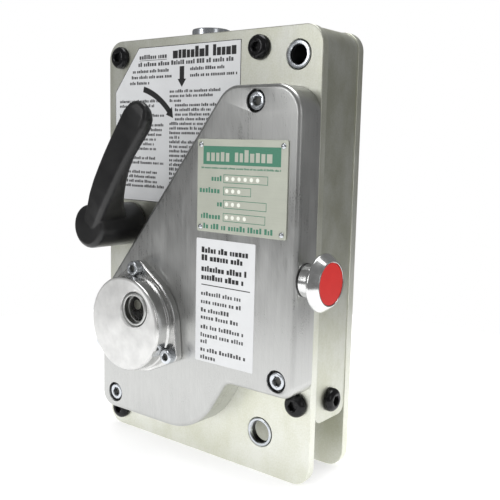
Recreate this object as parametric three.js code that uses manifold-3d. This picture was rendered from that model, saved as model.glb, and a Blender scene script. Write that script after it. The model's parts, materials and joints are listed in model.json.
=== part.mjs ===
// Overspeed rope grab for suspended platforms: two steel side plates held apart by tie bars,
// a rope path between them with a governor wheel and gripping jaws, a hand reset lever,
// and a cast cover on the front that carries the governor window and the emergency button.
// Millimetres. X runs along the plates' width, Y into the depth, Z up.
import * as THREE from 'three';
import { mergeVertices } from 'three/addons/utils/BufferGeometryUtils.js';
import Module from 'manifold-3d';

const wasm = await Module();
wasm.setup();

// ---- driving dimensions -------------------------------------------------------------
const PLATE_W = 161.6;
const PLATE_H = 250;
const PLATE_T = 5.2;
const DEPTH = 40.8;                     // over both plates
const PLATE_CORNER = 11;
const GAP_FRONT = PLATE_T;              // the space between the plates
const GAP_REAR = DEPTH - PLATE_T;
const MID_Y = DEPTH / 2;
const TOUCH = 0.1;                      // between faces that rest on each other
const FIT = 0.3;                        // radial, between a pin and its hole
const BLIND = 3;                        // depth of the pin holes on the plates' inner faces

const ROPE_X = 68;                      // the rope runs down through this line
const ROPE_R = 4.15;
const GROOVE_R = 4.5;                   // half-round groove around the rope
const GUIDE_BORE_R = 5.2;

const BAND_T = 2.5;
const BAND_INSET = 0.6;
const BAND_LOW_RIGHT = 35;
const TIE_R = 6;
const TIES = { tl: [11.2, 239.8], tr: [121, 239.8], br: [152.2, 46.3], bl: [11.5, 11.2] };
const M8_HEAD_R = 6.7;
const M8_HEAD_H = 4.2;
const M8_R = 4;
const M8_REACH = 14;

const TOP_EYE = { at: [146.4, 234.7], outer: 7.4, inner: 5.2 };
const LOW_EYE = { at: [127.2, 24.1], outer: 8.25, inner: 6.55 };

const COVER_DEPTH = 18;
const COVER_WALL = 3;
const COVER_FILLET = 2.5;
// cover corners: x, z, corner radius; a negative radius turns the other way
const COVER_CORNERS = [
  [12.3, 19, 9], [93.3, 19, 40], [115.5, 54.5, 7], [PLATE_W, 54.5, 8],
  [PLATE_W, 218.7, 16], [112.3, 218.7, 16], [12.3, 92.3, 15],
];
const COVER_SCREWS = { top: [132.7, 210.2], right: [150.6, 63.4], left: [24.6, 29.3] };
const COUNTERBORE_R = 6;
const COUNTERBORE_DEPTH = 6.4;

const GOVERNOR = [50.5, 81];
const FLANGE_R = 30.8;
const FLANGE_T = 5;
const EAR_ANGLES = [-30, 90, 210];
const EAR_PCD_R = 32.3;
const EAR_R = 4.4;
const GOVERNOR_HEAD_R = 4.3;
const DRUM_R = 28.2;
const DRUM_FRONT = -35;
const DRUM_PEAK = -37.2;
const DRUM_BORE_R = 25.2;
const SIGHT = [60.8, 91.5];
const SIGHT_POCKET_R = 10.3;
const SIGHT_HOLE_R = 7.6;
const WHEEL_R = 16.4;
const WHEEL_WIDTH = 17;
const GOV_SHAFT_R = 6;

const ROLLER_R = 12;
const ROLLER_GROOVE_BOTTOM = 9;
const ROLLER = [ROPE_X + ROPE_R + ROLLER_GROOVE_BOTTOM + 0.1, 81];
const ROLLER_PIVOT = [98, 50];

const LEVER = [21, 136.5];              // reset shaft, and the lower link's pivot
const LEVER_REST = 37;                  // degrees the armed lever leans to the right
const LEVER_LENGTH = 90;
const LEVER_HUB_R = 13.3;
const LEVER_HUB_FRONT = -37;
const LINK_LENGTH = 20;
const LINK_SPACING = 40;                // between the lower and the upper link
const LINK_REST = -55;                  // degrees, jaws open
const JAW_TRAVEL = 8.2;                 // towards the rope, over the lever's 45 degrees
const CHEEKS = [[6, 10], [30.8, 34.8]];
const JAW_Y = [10.6, 30.2];
const FIXED_FACE = ROPE_X + 1;
const [DOWEL_LOW, DOWEL_HIGH] = [[82, 128], [82, 168]];

const TRIP = [84, 106];                 // trip shaft
const BUTTON = { y: -9, z: 118.4 };
const BUTTON_FACE = 177.3;
const BUTTON_STROKE = 3.2;
const BUTTON_NECK_R = 7.6;
const COLLAR_END = 167.3;               // the collar that the button's neck slides into

const NAMEPLATE = { x: [93.8, 155], z: [139.3, 190.2], t: 0.8 };

// the whole model's box, so that the origin ends up under its middle, on the ground
const ORIGIN = [88.65, -1.956];

const ROUND = 20;                       // sides of a plain cylinder
const SMALL = 12;                       // sides of a small hole or pin

// ---- colours ------------------------------------------------------------------------
const finish = (color, metalness, roughness) => ({ color, metalness, roughness });
const ZINC = finish(0xb9baa9, 0.9, 0.45);
const BAND_STEEL = finish(0x9a9b8c, 0.9, 0.4);
const ALUMINIUM = finish(0xa9aaa9, 1, 0.38);
const BRIGHT = finish(0xd8d8d6, 1, 0.18);
const STEEL = finish(0x8f9092, 1, 0.35);
const BLACK_STEEL = finish(0x141414, 0.8, 0.25);
const BLACK_PLASTIC = finish(0x1b1b1c, 0, 0.5);
const RED = finish(0xd42a20, 0, 0.4);
const BRASS = finish(0xb08d4a, 1, 0.35);
const DARK = finish(0x2b2b29, 0.2, 0.5);
const GLASS = finish(0x6f706c, 0, 0.08);
const PLATE_GREEN = finish(0xc3ccb6, 0.6, 0.4);

// ---- solids -------------------------------------------------------------------------
function signedVolume(geometry) {
  const p = geometry.attributes.position;
  const index = geometry.index.array;
  const [a, b, c] = [new THREE.Vector3(), new THREE.Vector3(), new THREE.Vector3()];
  let sum = 0;
  for (let i = 0; i < index.length; i += 3) {
    a.fromBufferAttribute(p, index[i]);
    b.fromBufferAttribute(p, index[i + 1]);
    c.fromBufferAttribute(p, index[i + 2]);
    sum += a.dot(b.cross(c));
  }
  return sum / 6;
}

function solid(geometry) {
  const bare = geometry.clone();
  bare.deleteAttribute('normal');
  bare.deleteAttribute('uv');
  const merged = mergeVertices(bare, 1e-4);
  const triVerts = new Uint32Array(merged.index.array);
  if (signedVolume(merged) < 0) {
    for (let i = 0; i < triVerts.length; i += 3) {
      [triVerts[i + 1], triVerts[i + 2]] = [triVerts[i + 2], triVerts[i + 1]];
    }
  }
  const vertProperties = new Float32Array(merged.attributes.position.array);
  return new wasm.Manifold(new wasm.Mesh({ numProp: 3, vertProperties, triVerts }));
}

function meshGeometry(manifold) {
  const mesh = manifold.getMesh();
  const geometry = new THREE.BufferGeometry();
  geometry.setAttribute('position', new THREE.BufferAttribute(new Float32Array(mesh.vertProperties), 3));
  geometry.setIndex(new THREE.BufferAttribute(new Uint32Array(mesh.triVerts), 1));
  return geometry;
}

const join = (...solids) => solids.reduce((all, next) => all.add(next));
const cut = (body, ...tools) => tools.reduce((left, tool) => left.subtract(tool), body);

// a rod along Y, X or Z
function rodY([x, z], r, y0, y1, sides = ROUND) {
  const rod = new THREE.CylinderGeometry(r, r, y1 - y0, sides);
  return solid(rod.translate(x, (y0 + y1) / 2, z));
}

function rodX([y, z], r, x0, x1, sides = ROUND) {
  const rod = new THREE.CylinderGeometry(r, r, x1 - x0, sides);
  return solid(rod.rotateZ(Math.PI / 2).translate((x0 + x1) / 2, y, z));
}

function rodZ([x, y], r, z0, z1, sides = ROUND) {
  const rod = new THREE.CylinderGeometry(r, r, z1 - z0, sides);
  return solid(rod.rotateX(Math.PI / 2).translate(x, y, (z0 + z1) / 2));
}

function block(x0, x1, y0, y1, z0, z1) {
  const box = new THREE.BoxGeometry(x1 - x0, y1 - y0, z1 - z0);
  return solid(box.translate((x0 + x1) / 2, (y0 + y1) / 2, (z0 + z1) / 2));
}

// a turned shape about an axis along Y: profile points are radius, y
function turnedY([x, z], profile, sides = ROUND) {
  const points = profile.map(([r, y]) => new THREE.Vector2(r, y));
  return solid(new THREE.LatheGeometry(points, sides).translate(x, 0, z));
}

// a turned shape about an axis along X: profile points are radius, x
function turnedX([y, z], profile, sides = ROUND) {
  const points = profile.map(([r, x]) => new THREE.Vector2(r, x));
  return solid(new THREE.LatheGeometry(points, sides).rotateZ(-Math.PI / 2).translate(0, y, z));
}

// a turned shape about an axis along Z: profile points are radius, z
function turnedZ([x, y], profile, sides = ROUND) {
  const points = profile.map(([r, z]) => new THREE.Vector2(r, z));
  return solid(new THREE.LatheGeometry(points, sides).rotateX(Math.PI / 2).translate(x, y, 0));
}

// an outline in x and z, pushed along Y from y0 to y1
function slab(shape, y0, y1, curveSegments = 4) {
  const body = new THREE.ExtrudeGeometry(shape, { depth: y1 - y0, bevelEnabled: false, curveSegments });
  return solid(body.rotateX(Math.PI / 2).translate(0, y1, 0));
}

// corners [x, z, radius] joined by straight lines and tangent arcs
function roundedOutline(corners) {
  const shape = new THREE.Shape();
  const count = corners.length;
  corners.forEach(([x, z, radius], i) => {
    const here = new THREE.Vector2(x, z);
    const before = new THREE.Vector2(...corners[(i + count - 1) % count]).sub(here).normalize();
    const after = new THREE.Vector2(...corners[(i + 1) % count]).sub(here).normalize();
    const half = Math.acos(before.dot(after)) / 2;
    const reach = radius / Math.tan(half);
    const start = here.clone().addScaledVector(before, reach);
    const middle = before.clone().add(after).normalize();
    const centre = here.clone().addScaledVector(middle, radius / Math.sin(half));
    const end = here.clone().addScaledVector(after, reach);
    const from = Math.atan2(start.y - centre.y, start.x - centre.x);
    const to = Math.atan2(end.y - centre.y, end.x - centre.x);
    const clockwise = before.cross(after) > 0;
    shape.absarc(centre.x, centre.y, radius, from, to, clockwise);
  });
  shape.closePath();
  return shape;
}

// the same corners with every side moved inwards, for a closed outline that runs anticlockwise
function insetCorners(corners, distance) {
  const count = corners.length;
  return corners.map(([x, z, radius], i) => {
    const here = new THREE.Vector2(x, z);
    const into = here.clone().sub(new THREE.Vector2(...corners[(i + count - 1) % count])).normalize();
    const out = new THREE.Vector2(...corners[(i + 1) % count]).sub(here).normalize();
    const leftOfInto = new THREE.Vector2(-into.y, into.x);
    const leftOfOut = new THREE.Vector2(-out.y, out.x);
    const diagonal = leftOfInto.clone().add(leftOfOut);
    const step = distance * 2 / diagonal.lengthSq();
    const turnsLeft = into.cross(out) > 0;
    const newRadius = Math.max(0.5, radius + (turnsLeft ? -distance : distance));
    return [x + diagonal.x * step, z + diagonal.y * step, newRadius];
  });
}

// a bar with round ends between two points in x and z
function capsule([x0, z0], r0, [x1, z1], r1) {
  const along = Math.atan2(z1 - z0, x1 - x0);
  const spread = Math.acos((r0 - r1) / Math.hypot(x1 - x0, z1 - z0));
  const shape = new THREE.Shape();
  shape.absarc(x0, z0, r0, along + spread, along - spread + 2 * Math.PI, false);
  shape.absarc(x1, z1, r1, along - spread, along + spread, false);
  shape.closePath();
  return shape;
}

const polar = ([x, z], r, degrees) => {
  const angle = THREE.MathUtils.degToRad(degrees);
  return [x + r * Math.cos(angle), z + r * Math.sin(angle)];
};

// ---- the assembly -------------------------------------------------------------------
const ropeGrab = new THREE.Group();

function add(name, body, look) {
  const geometry = meshGeometry(body).translate(-ORIGIN[0], -ORIGIN[1], 0);
  const mesh = new THREE.Mesh(geometry, new THREE.MeshStandardMaterial(look));
  mesh.name = name;
  ropeGrab.add(mesh);
}

// ---- frame --------------------------------------------------------------------------
function plateOutline() {
  const corners = [[0, 0, PLATE_CORNER], [PLATE_W, 0, PLATE_CORNER],
    [PLATE_W, PLATE_H, PLATE_CORNER], [0, PLATE_H, PLATE_CORNER]];
  return roundedOutline(corners);
}

const PIN_HOLES = {
  governor: [GOVERNOR, GOV_SHAFT_R], lever: [LEVER, 6],
  upperLink: [[LEVER[0], LEVER[1] + LINK_SPACING], 4],
  rollerArm: [ROLLER_PIVOT, 4], trip: [TRIP, 4],
  dowelLow: [DOWEL_LOW, 4], dowelHigh: [DOWEL_HIGH, 4],
};
const SHAFTS_THROUGH_FRONT = ['governor', 'lever', 'trip'];

function makePlates() {
  let front = slab(plateOutline(), 0, PLATE_T);
  let rear = slab(plateOutline(), GAP_REAR, DEPTH);
  for (const at of Object.values(TIES)) {
    front = cut(front, rodY(at, M8_R + FIT, -1, PLATE_T + 1, SMALL));
    rear = cut(rear, rodY(at, 4.5 + FIT, GAP_REAR - 1, DEPTH + 1, SMALL));
  }
  for (const eye of [TOP_EYE, LOW_EYE]) {
    front = cut(front, rodY(eye.at, eye.outer + FIT, -1, PLATE_T + 1));
    rear = cut(rear, rodY(eye.at, eye.outer + FIT, GAP_REAR - 1, DEPTH + 1));
  }
  for (const [name, [at, r]] of Object.entries(PIN_HOLES)) {
    const through = SHAFTS_THROUGH_FRONT.includes(name);
    front = cut(front, rodY(at, r + FIT, through ? -1 : PLATE_T - BLIND, PLATE_T + 1, SMALL));
    rear = cut(rear, rodY(at, r + FIT, GAP_REAR - 1, GAP_REAR + BLIND, SMALL));
  }
  for (const at of Object.values(COVER_SCREWS)) {
    front = cut(front, rodY(at, 3 + FIT, -1, PLATE_T + 1, SMALL));
  }
  add('front_plate', front, ZINC);
  add('rear_plate', rear, ZINC);
}

// folded strip that closes the left side, the top and most of the right side
function makeBand() {
  const [x0, x1, top] = [BAND_INSET, PLATE_W - BAND_INSET, PLATE_H - BAND_INSET];
  const r = PLATE_CORNER - BAND_INSET;
  const arch = (grow) => roundedOutline([
    [x0 + grow, -20, 1], [x1 - grow, -20, 1],
    [x1 - grow, top - grow, r - grow], [x0 + grow, top - grow, r - grow],
  ]);
  const [y0, y1] = [GAP_FRONT + TOUCH, GAP_REAR - TOUCH];
  let band = cut(slab(arch(0), y0, y1), slab(arch(BAND_T), y0 - 1, y1 + 1));
  band = cut(band, block(-5, PLATE_W / 2, -5, DEPTH + 5, -30, 3));
  band = cut(band, block(PLATE_W / 2, PLATE_W + 5, -5, DEPTH + 5, -30, BAND_LOW_RIGHT));
  band = cut(band, roundEnd(x1, y0, y1, BAND_LOW_RIGHT, 6));
  band = cut(band, rodZ([ROPE_X, MID_Y], 11.5 + FIT, 240, 260));
  band = cut(band, rodX([MID_Y, TIES.br[1]], M8_R + FIT, 150, PLATE_W + 5, SMALL));
  band = cut(band, rodX([MID_Y, TIES.bl[1]], M8_R + FIT, -5, 10, SMALL));
  add('side_band', band, BAND_STEEL);
}

// what is taken off a strip's low end to round its two corners, seen along X
function roundEnd(x, y0, y1, z, r) {
  const outside = block(x - 6, x + 6, y0 - 1, y1 + 1, z - 1, z + r);
  const kept = join(
    block(x - 7, x + 7, y0 + r, y1 - r, z - 2, z + r + 1),
    rodX([y0 + r, z + r], r, x - 7, x + 7),
    rodX([y1 - r, z + r], r, x - 7, x + 7),
  );
  return cut(outside, kept);
}

// tie bars: the rear end is riveted flush in the rear plate, the front end is tapped
function makeTies() {
  for (const [name, at] of Object.entries(TIES)) {
    const bar = join(
      rodY(at, TIE_R, GAP_FRONT + TOUCH, GAP_REAR - TOUCH),
      rodY(at, 4.5, MID_Y, DEPTH, SMALL),
    );
    let drilled = cut(bar, rodY(at, M8_R + FIT, -1, M8_REACH + 1, SMALL));
    if (name === 'br') drilled = cut(drilled, rodX([MID_Y, at[1]], M8_R + FIT, at[0] - 2, at[0] + 9, SMALL));
    if (name === 'bl') drilled = cut(drilled, rodX([MID_Y, at[1]], M8_R + FIT, at[0] - 9, at[0] + 2, SMALL));
    add(`tie_bar_${name}`, drilled, STEEL);
  }
}

// domed socket screw: profile of the head and shank, the head's seat at 0 and its top at -height
function domedProfile(headR, height, shankR, reach) {
  return [
    [0, -height], [headR * 0.5, -height], [headR * 0.82, -height * 0.78], [headR, -height * 0.32],
    [headR, 0], [shankR, 0], [shankR, reach], [0, reach],
  ];
}

function hexY([x, z], across, y0, y1) {
  const prism = new THREE.CylinderGeometry(across / Math.sqrt(3), across / Math.sqrt(3), y1 - y0, 6);
  return solid(prism.translate(x, (y0 + y1) / 2, z));
}

function domedScrewY(at, y) {
  const profile = domedProfile(M8_HEAD_R, M8_HEAD_H, M8_R, M8_REACH).map(([r, t]) => [r, t + y - TOUCH]);
  return cut(turnedY(at, profile), hexY(at, 5, y - M8_HEAD_H - 1, y - M8_HEAD_H + 2.4));
}

function domedScrewX([y, z], x, side) {
  const profile = domedProfile(M8_HEAD_R, M8_HEAD_H, M8_R, 7.5)
    .map(([r, t]) => [r, x - side * t]);
  const socket = new THREE.CylinderGeometry(2.9, 2.9, 3.4, 6).rotateZ(Math.PI / 2);
  const middle = x + side * (M8_HEAD_H - 0.7);
  return cut(turnedX([y, z], profile), solid(socket.translate(middle, y, z)));
}

function makeFrameScrews() {
  for (const [name, at] of Object.entries(TIES)) {
    add(`plate_screw_${name}`, domedScrewY(at, 0), BLACK_STEEL);
  }
  const proud = PLATE_W - BAND_INSET + TOUCH;
  add('band_screw_right', domedScrewX([MID_Y, TIES.br[1]], proud, 1), BLACK_STEEL);
}

function makeEyes() {
  const ring = (eye, y0, y1) => turnedY(eye.at, [
    [eye.inner, y0], [eye.outer - 0.6, y0], [eye.outer, y0 + 0.6], [eye.outer, y1 - 0.6],
    [eye.outer - 0.6, y1], [eye.inner, y1], [eye.inner, y0],
  ], 24);
  add('top_eye_bush', ring(TOP_EYE, -0.4, DEPTH + 0.4), BRIGHT);
  add('low_eye_bush_front', ring(LOW_EYE, -0.4, PLATE_T), BRIGHT);
  add('low_eye_bush_rear', ring(LOW_EYE, GAP_REAR, DEPTH + 0.4), BRIGHT);
}

// ---- rope guides --------------------------------------------------------------------
function makeRopeGuides() {
  const under = PLATE_H - BAND_INSET - BAND_T - TOUCH;
  const inlet = turnedZ([ROPE_X, MID_Y], [
    [GUIDE_BORE_R, 234], [14, 234], [14, under], [11.5, under], [11.5, 253.8], [10, 255.3],
    [8.2, 255.3], [GUIDE_BORE_R, 252.1], [GUIDE_BORE_R, 234],
  ], 24);
  add('rope_inlet', inlet, BRIGHT);
  const bore = turnedZ([ROPE_X, MID_Y], [[0, 1], [8, 1], [GUIDE_BORE_R, 6], [GUIDE_BORE_R, 23], [0, 23]]);
  const outlet = cut(block(ROPE_X - 13, ROPE_X + 13, GAP_FRONT + TOUCH, GAP_REAR - TOUCH, 2, 22), bore);
  add('rope_outlet', outlet, STEEL);
}

// ---- governor: driven by the rope, trips the jaws on overspeed -----------------------
// a wheel with a groove that fits the rope lying against it
function groovedWheel(at, outer, bottom, bore, sides = 24) {
  const half = WHEEL_WIDTH / 2;
  const profile = [[bore, MID_Y - half], [outer, MID_Y - half]];
  const depth = outer - bottom;
  const mouth = Math.acos((GROOVE_R - depth) / GROOVE_R);
  const centre = bottom + GROOVE_R;
  for (let i = 0; i <= 5; i += 1) {
    const angle = -mouth + (2 * mouth * i) / 5;
    profile.push([centre - GROOVE_R * Math.cos(angle), MID_Y + GROOVE_R * Math.sin(angle)]);
  }
  profile.push([outer, MID_Y + half], [bore, MID_Y + half], [bore, MID_Y - half]);
  return turnedY(at, profile, sides);
}

// crescent weight pivoted near one end, drawn in its closed position
function flyweight(turn) {
  const [inner, outer] = [9.5, 18.6];
  const [from, to] = [turn - 60, turn + 60].map(THREE.MathUtils.degToRad);
  const shape = new THREE.Shape();
  shape.absarc(...GOVERNOR, outer, from, to, false);
  shape.absarc(...GOVERNOR, inner, to, from, true);
  shape.closePath();
  const pivot = polar(GOVERNOR, 14.2, turn - 48);
  return cut(slab(shape, -17, -10.4), rodY(pivot, 2 + FIT, -18, -9, SMALL));
}

function makeGovernor() {
  const shaft = join(
    rodY(GOVERNOR, GOV_SHAFT_R, -26.5, GAP_REAR + BLIND - 0.5),
    rodY(GOVERNOR, 8, GAP_FRONT + 0.3, MID_Y - WHEEL_WIDTH / 2 - FIT),
    rodY(GOVERNOR, 8, MID_Y + WHEEL_WIDTH / 2 + FIT, GAP_REAR - 0.3),
  );
  add('governor_shaft', shaft, STEEL);
  const bottom = ROPE_X - ROPE_R - GOVERNOR[0] - 0.1;
  add('drive_wheel', groovedWheel(GOVERNOR, WHEEL_R, bottom, GOV_SHAFT_R + FIT), STEEL);
  let disc = turnedY(GOVERNOR, [
    [GOV_SHAFT_R + FIT, -9.8], [22.5, -9.8], [22.5, -6], [GOV_SHAFT_R + FIT, -6], [GOV_SHAFT_R + FIT, -9.8],
  ], 24);
  for (const turn of [0, 180]) disc = join(disc, rodY(polar(GOVERNOR, 14.2, turn - 48), 2, -16.6, -7, SMALL));
  add('governor_disc', disc, STEEL);
  add('flyweight_right', flyweight(0), BRASS);
  add('flyweight_left', flyweight(180), BRASS);
  const ring = new THREE.TorusGeometry(19.9, 0.9, 5, 28).rotateX(Math.PI / 2);
  add('governor_spring', solid(ring.translate(GOVERNOR[0], -13.7, GOVERNOR[1])), BRIGHT);
  const indicator = turnedY(GOVERNOR, [
    [GOV_SHAFT_R + FIT, -24.5], [22, -24.5], [22, -22.5],
    [GOV_SHAFT_R + FIT, -22.5], [GOV_SHAFT_R + FIT, -24.5],
  ], 24);
  add('indicator_disc', indicator, DARK);
}

// ---- pressure roller: holds the rope against the governor wheel ----------------------
function makePressureRoller() {
  const half = WHEEL_WIDTH / 2;
  add('pressure_roller', groovedWheel(ROLLER, ROLLER_R, ROLLER_GROOVE_BOTTOM, 4 + FIT), STEEL);
  const [y0, y1] = [GAP_FRONT + 1.2, GAP_REAR - 1.2];
  let arm = rodY(ROLLER_PIVOT, 8, y0, y1);
  for (const [c0, c1] of [[y0, MID_Y - half - 0.6], [MID_Y + half + 0.6, y1]]) {
    arm = join(arm, slab(capsule(ROLLER_PIVOT, 8, ROLLER, 7), c0, c1));
  }
  arm = cut(arm, rodY(ROLLER_PIVOT, 4 + FIT, 0, DEPTH), rodY(ROLLER, 4 + FIT, 0, DEPTH));
  add('roller_arm', arm, STEEL);
  add('roller_pin', rodY(ROLLER, 4, y0, y1, SMALL), STEEL);
  add('roller_arm_pin', rodY(ROLLER_PIVOT, 4, GAP_FRONT - BLIND + 0.4, GAP_REAR + BLIND - 0.4, SMALL), STEEL);
}

// ---- jaws: the moving jaw swings on two equal links and stays upright ------------------
const lowPin = polar(LEVER, LINK_LENGTH, LINK_REST);
const upper = [LEVER[0], LEVER[1] + LINK_SPACING];
const highPin = polar(upper, LINK_LENGTH, LINK_REST);

function link(pivot, pin, shaftR) {
  let body = rodY(pivot, shaftR + 4, CHEEKS[0][0], CHEEKS[1][1]);
  for (const [y0, y1] of CHEEKS) body = join(body, slab(capsule(pivot, shaftR + 4, pin, 6.5), y0, y1));
  return cut(body, rodY(pivot, shaftR + FIT, 0, DEPTH), rodY(pin, 4 + FIT, 0, DEPTH, SMALL));
}

function makeJaws() {
  const [y0, y1] = JAW_Y;
  const openFace = FIXED_FACE - 2 - JAW_TRAVEL;
  const [back, low, high] = [lowPin[0] + 2, lowPin[1] - 12, highPin[1] + 12];
  const blockOutline = roundedOutline([
    [back, low, 3], [openFace, low, 2], [openFace, high, 2], [back, high, 3],
  ]);
  let moving = slab(blockOutline, y0, y1, 4);
  for (const pin of [lowPin, highPin]) {
    moving = join(moving, slab(capsule(pin, 6.5, [back + 8, pin[1]], 6.4), y0, y1));
  }
  moving = cut(moving, rodY(lowPin, 4 + FIT, 0, DEPTH, SMALL), rodY(highPin, 4 + FIT, 0, DEPTH, SMALL));
  moving = cut(moving, rodZ([openFace + 1, MID_Y], GROOVE_R, low - 1, high + 1));
  add('moving_jaw', moving, STEEL);

  const fixedOutline = roundedOutline([
    [FIXED_FACE, 117, 2], [94, 117, 4], [94, 181, 4], [FIXED_FACE, 181, 2],
  ]);
  const fixed = cut(
    slab(fixedOutline, GAP_FRONT + TOUCH, GAP_REAR - TOUCH, 4),
    rodZ([ROPE_X, MID_Y], GROOVE_R, 110, 190),
    rodY(DOWEL_LOW, 4 + FIT, 0, DEPTH, SMALL), rodY(DOWEL_HIGH, 4 + FIT, 0, DEPTH, SMALL),
  );
  add('fixed_jaw', fixed, STEEL);
  const [d0, d1] = [GAP_FRONT - BLIND + 0.4, GAP_REAR + BLIND - 0.4];
  add('jaw_dowel_lower', rodY(DOWEL_LOW, 4, d0, d1, SMALL), STEEL);
  add('jaw_dowel_upper', rodY(DOWEL_HIGH, 4, d0, d1, SMALL), STEEL);

  add('lower_link', link(LEVER, lowPin, 6), ZINC);
  add('upper_link', link(upper, highPin, 4), ZINC);
  add('upper_link_pin', rodY(upper, 4, d0, d1, SMALL), STEEL);
  add('jaw_pin_lower', rodY(lowPin, 4, CHEEKS[0][0], CHEEKS[1][1], SMALL), STEEL);
  add('jaw_pin_upper', rodY(highPin, 4, CHEEKS[0][0], CHEEKS[1][1], SMALL), STEEL);
}

// close-wound tension spring that pulls the jaws shut, hung from the top of the case
function makeJawSpring() {
  const [x, z0, z1] = [highPin[0] + 8, highPin[1] + 14, 230];
  const turns = 8;
  const steps = turns * 6;
  const points = [];
  for (let i = 0; i <= steps; i += 1) {
    const angle = (i / 6) * 2 * Math.PI;
    points.push(new THREE.Vector3(5 * Math.cos(angle), 5 * Math.sin(angle), (z1 - z0) * (i / steps)));
  }
  const wire = new THREE.Shape().absarc(0, 0, 0.9, 0, 2 * Math.PI, false);
  const extrudePath = new THREE.CatmullRomCurve3(points);
  const coil = new THREE.ExtrudeGeometry(wire, { steps, extrudePath, curveSegments: 3 });
  add('jaw_spring', solid(coil.translate(x, MID_Y, z0)), BRIGHT);
}

// ---- reset lever ----------------------------------------------------------------------
// the arm: its outline seen from the front, cut with its outline seen from the side
function leverArm() {
  const front = new THREE.Shape();
  front.moveTo(-6.5, 0);
  front.lineTo(-7, 9);
  front.quadraticCurveTo(-8.8, 22, -9.2, 40);
  front.lineTo(-9.8, LEVER_LENGTH - 10);
  front.absarc(0, LEVER_LENGTH - 10, 10, Math.PI, 0, true);
  front.lineTo(9.2, 40);
  front.quadraticCurveTo(8.8, 22, 7, 9);
  front.lineTo(6.5, 0);
  front.closePath();
  const side = new THREE.Shape();
  side.moveTo(-LEVER_HUB_FRONT, 0);
  side.quadraticCurveTo(-LEVER_HUB_FRONT + 7.1, 30, -LEVER_HUB_FRONT + 7.8, 60);
  side.quadraticCurveTo(-LEVER_HUB_FRONT + 9.2, LEVER_LENGTH - 2, -LEVER_HUB_FRONT + 5, LEVER_LENGTH);
  side.quadraticCurveTo(-LEVER_HUB_FRONT, LEVER_LENGTH, -LEVER_HUB_FRONT - 1, LEVER_LENGTH - 10);
  side.lineTo(-LEVER_HUB_FRONT, 62);
  side.bezierCurveTo(-LEVER_HUB_FRONT - 1, 50, -LEVER_HUB_FRONT - 9, 32, -LEVER_HUB_FRONT - 16.5, 14);
  side.lineTo(-LEVER_HUB_FRONT - 18, 0);
  side.closePath();
  const face = slab(front, -60, 0, 8);
  // the side outline holds -y and the distance along the arm
  const edge = new THREE.ExtrudeGeometry(side, { depth: 30, bevelEnabled: false, curveSegments: 6 });
  const turn = new THREE.Matrix4().set(0, 0, 1, -15, -1, 0, 0, 0, 0, 1, 0, 0, 0, 0, 0, 1);
  return face.intersect(solid(edge.applyMatrix4(turn)));
}

function makeResetLever() {
  const hub = turnedY([0, 0], [
    [0, LEVER_HUB_FRONT], [9.6, LEVER_HUB_FRONT], [12.2, LEVER_HUB_FRONT + 1.2],
    [LEVER_HUB_R, LEVER_HUB_FRONT + 4], [LEVER_HUB_R, -TOUCH - 0.4], [0, -TOUCH - 0.4],
  ], 24);
  let lever = join(hub, leverArm());
  lever = cut(lever,
    rodY([0, 0], 6 + FIT, -28, 5),
    rodY([0, 0], 6.4, LEVER_HUB_FRONT - 5, LEVER_HUB_FRONT + 6),
    rodY([0, 0], 2.5 + FIT, LEVER_HUB_FRONT, -20, SMALL));
  const geometry = meshGeometry(lever);
  geometry.rotateY(THREE.MathUtils.degToRad(LEVER_REST)).translate(LEVER[0], 0, LEVER[1]);
  add('reset_lever', solid(geometry), BLACK_PLASTIC);

  const shaft = cut(rodY(LEVER, 6, -27.5, GAP_REAR + BLIND - 0.5), rodY(LEVER, 2.5 + FIT, -30, -14, SMALL));
  add('reset_shaft', shaft, STEEL);
  const seat = LEVER_HUB_FRONT + 6 - TOUCH;
  const screw = turnedY(LEVER, [[0, seat - 4.5], [5.2, seat - 4.5], [5.6, seat - 4], [5.6, seat],
    [2.5, seat], [2.5, -15], [0, -15]]);
  add('lever_screw', cut(screw, hexY(LEVER, 5, seat - 6, seat - 2)), BLACK_STEEL);
}

// ---- trip gear ------------------------------------------------------------------------
// the front arm is worked by the button's stem and by the flyweights; the pawl holds the link
function makeTrip() {
  const stemPad = [88.5, 123];
  const finger = polar(GOVERNOR, 26.3, 39);
  let shaft = rodY(TRIP, 4, -13, GAP_REAR + BLIND - 0.5);
  const stemArm = slab(capsule(TRIP, 7, stemPad, 3.4), -13, -5);
  shaft = join(shaft, stemArm, slab(capsule(TRIP, 7, finger, 2.4), -13, -5));
  add('trip_shaft', shaft, ZINC);

  const reach = 27.2;
  const tip = polar(LEVER, reach + 3.5, -35);
  let pawl = slab(capsule(TRIP, 7.5, tip, 4), GAP_FRONT + 0.8, CHEEKS[0][1] - 0.2);
  pawl = cut(pawl, rodY(TRIP, 4 + FIT, 0, DEPTH, SMALL), rodY(LEVER, reach, 0, 20, 48));
  add('trip_pawl', pawl, STEEL);
}

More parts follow.
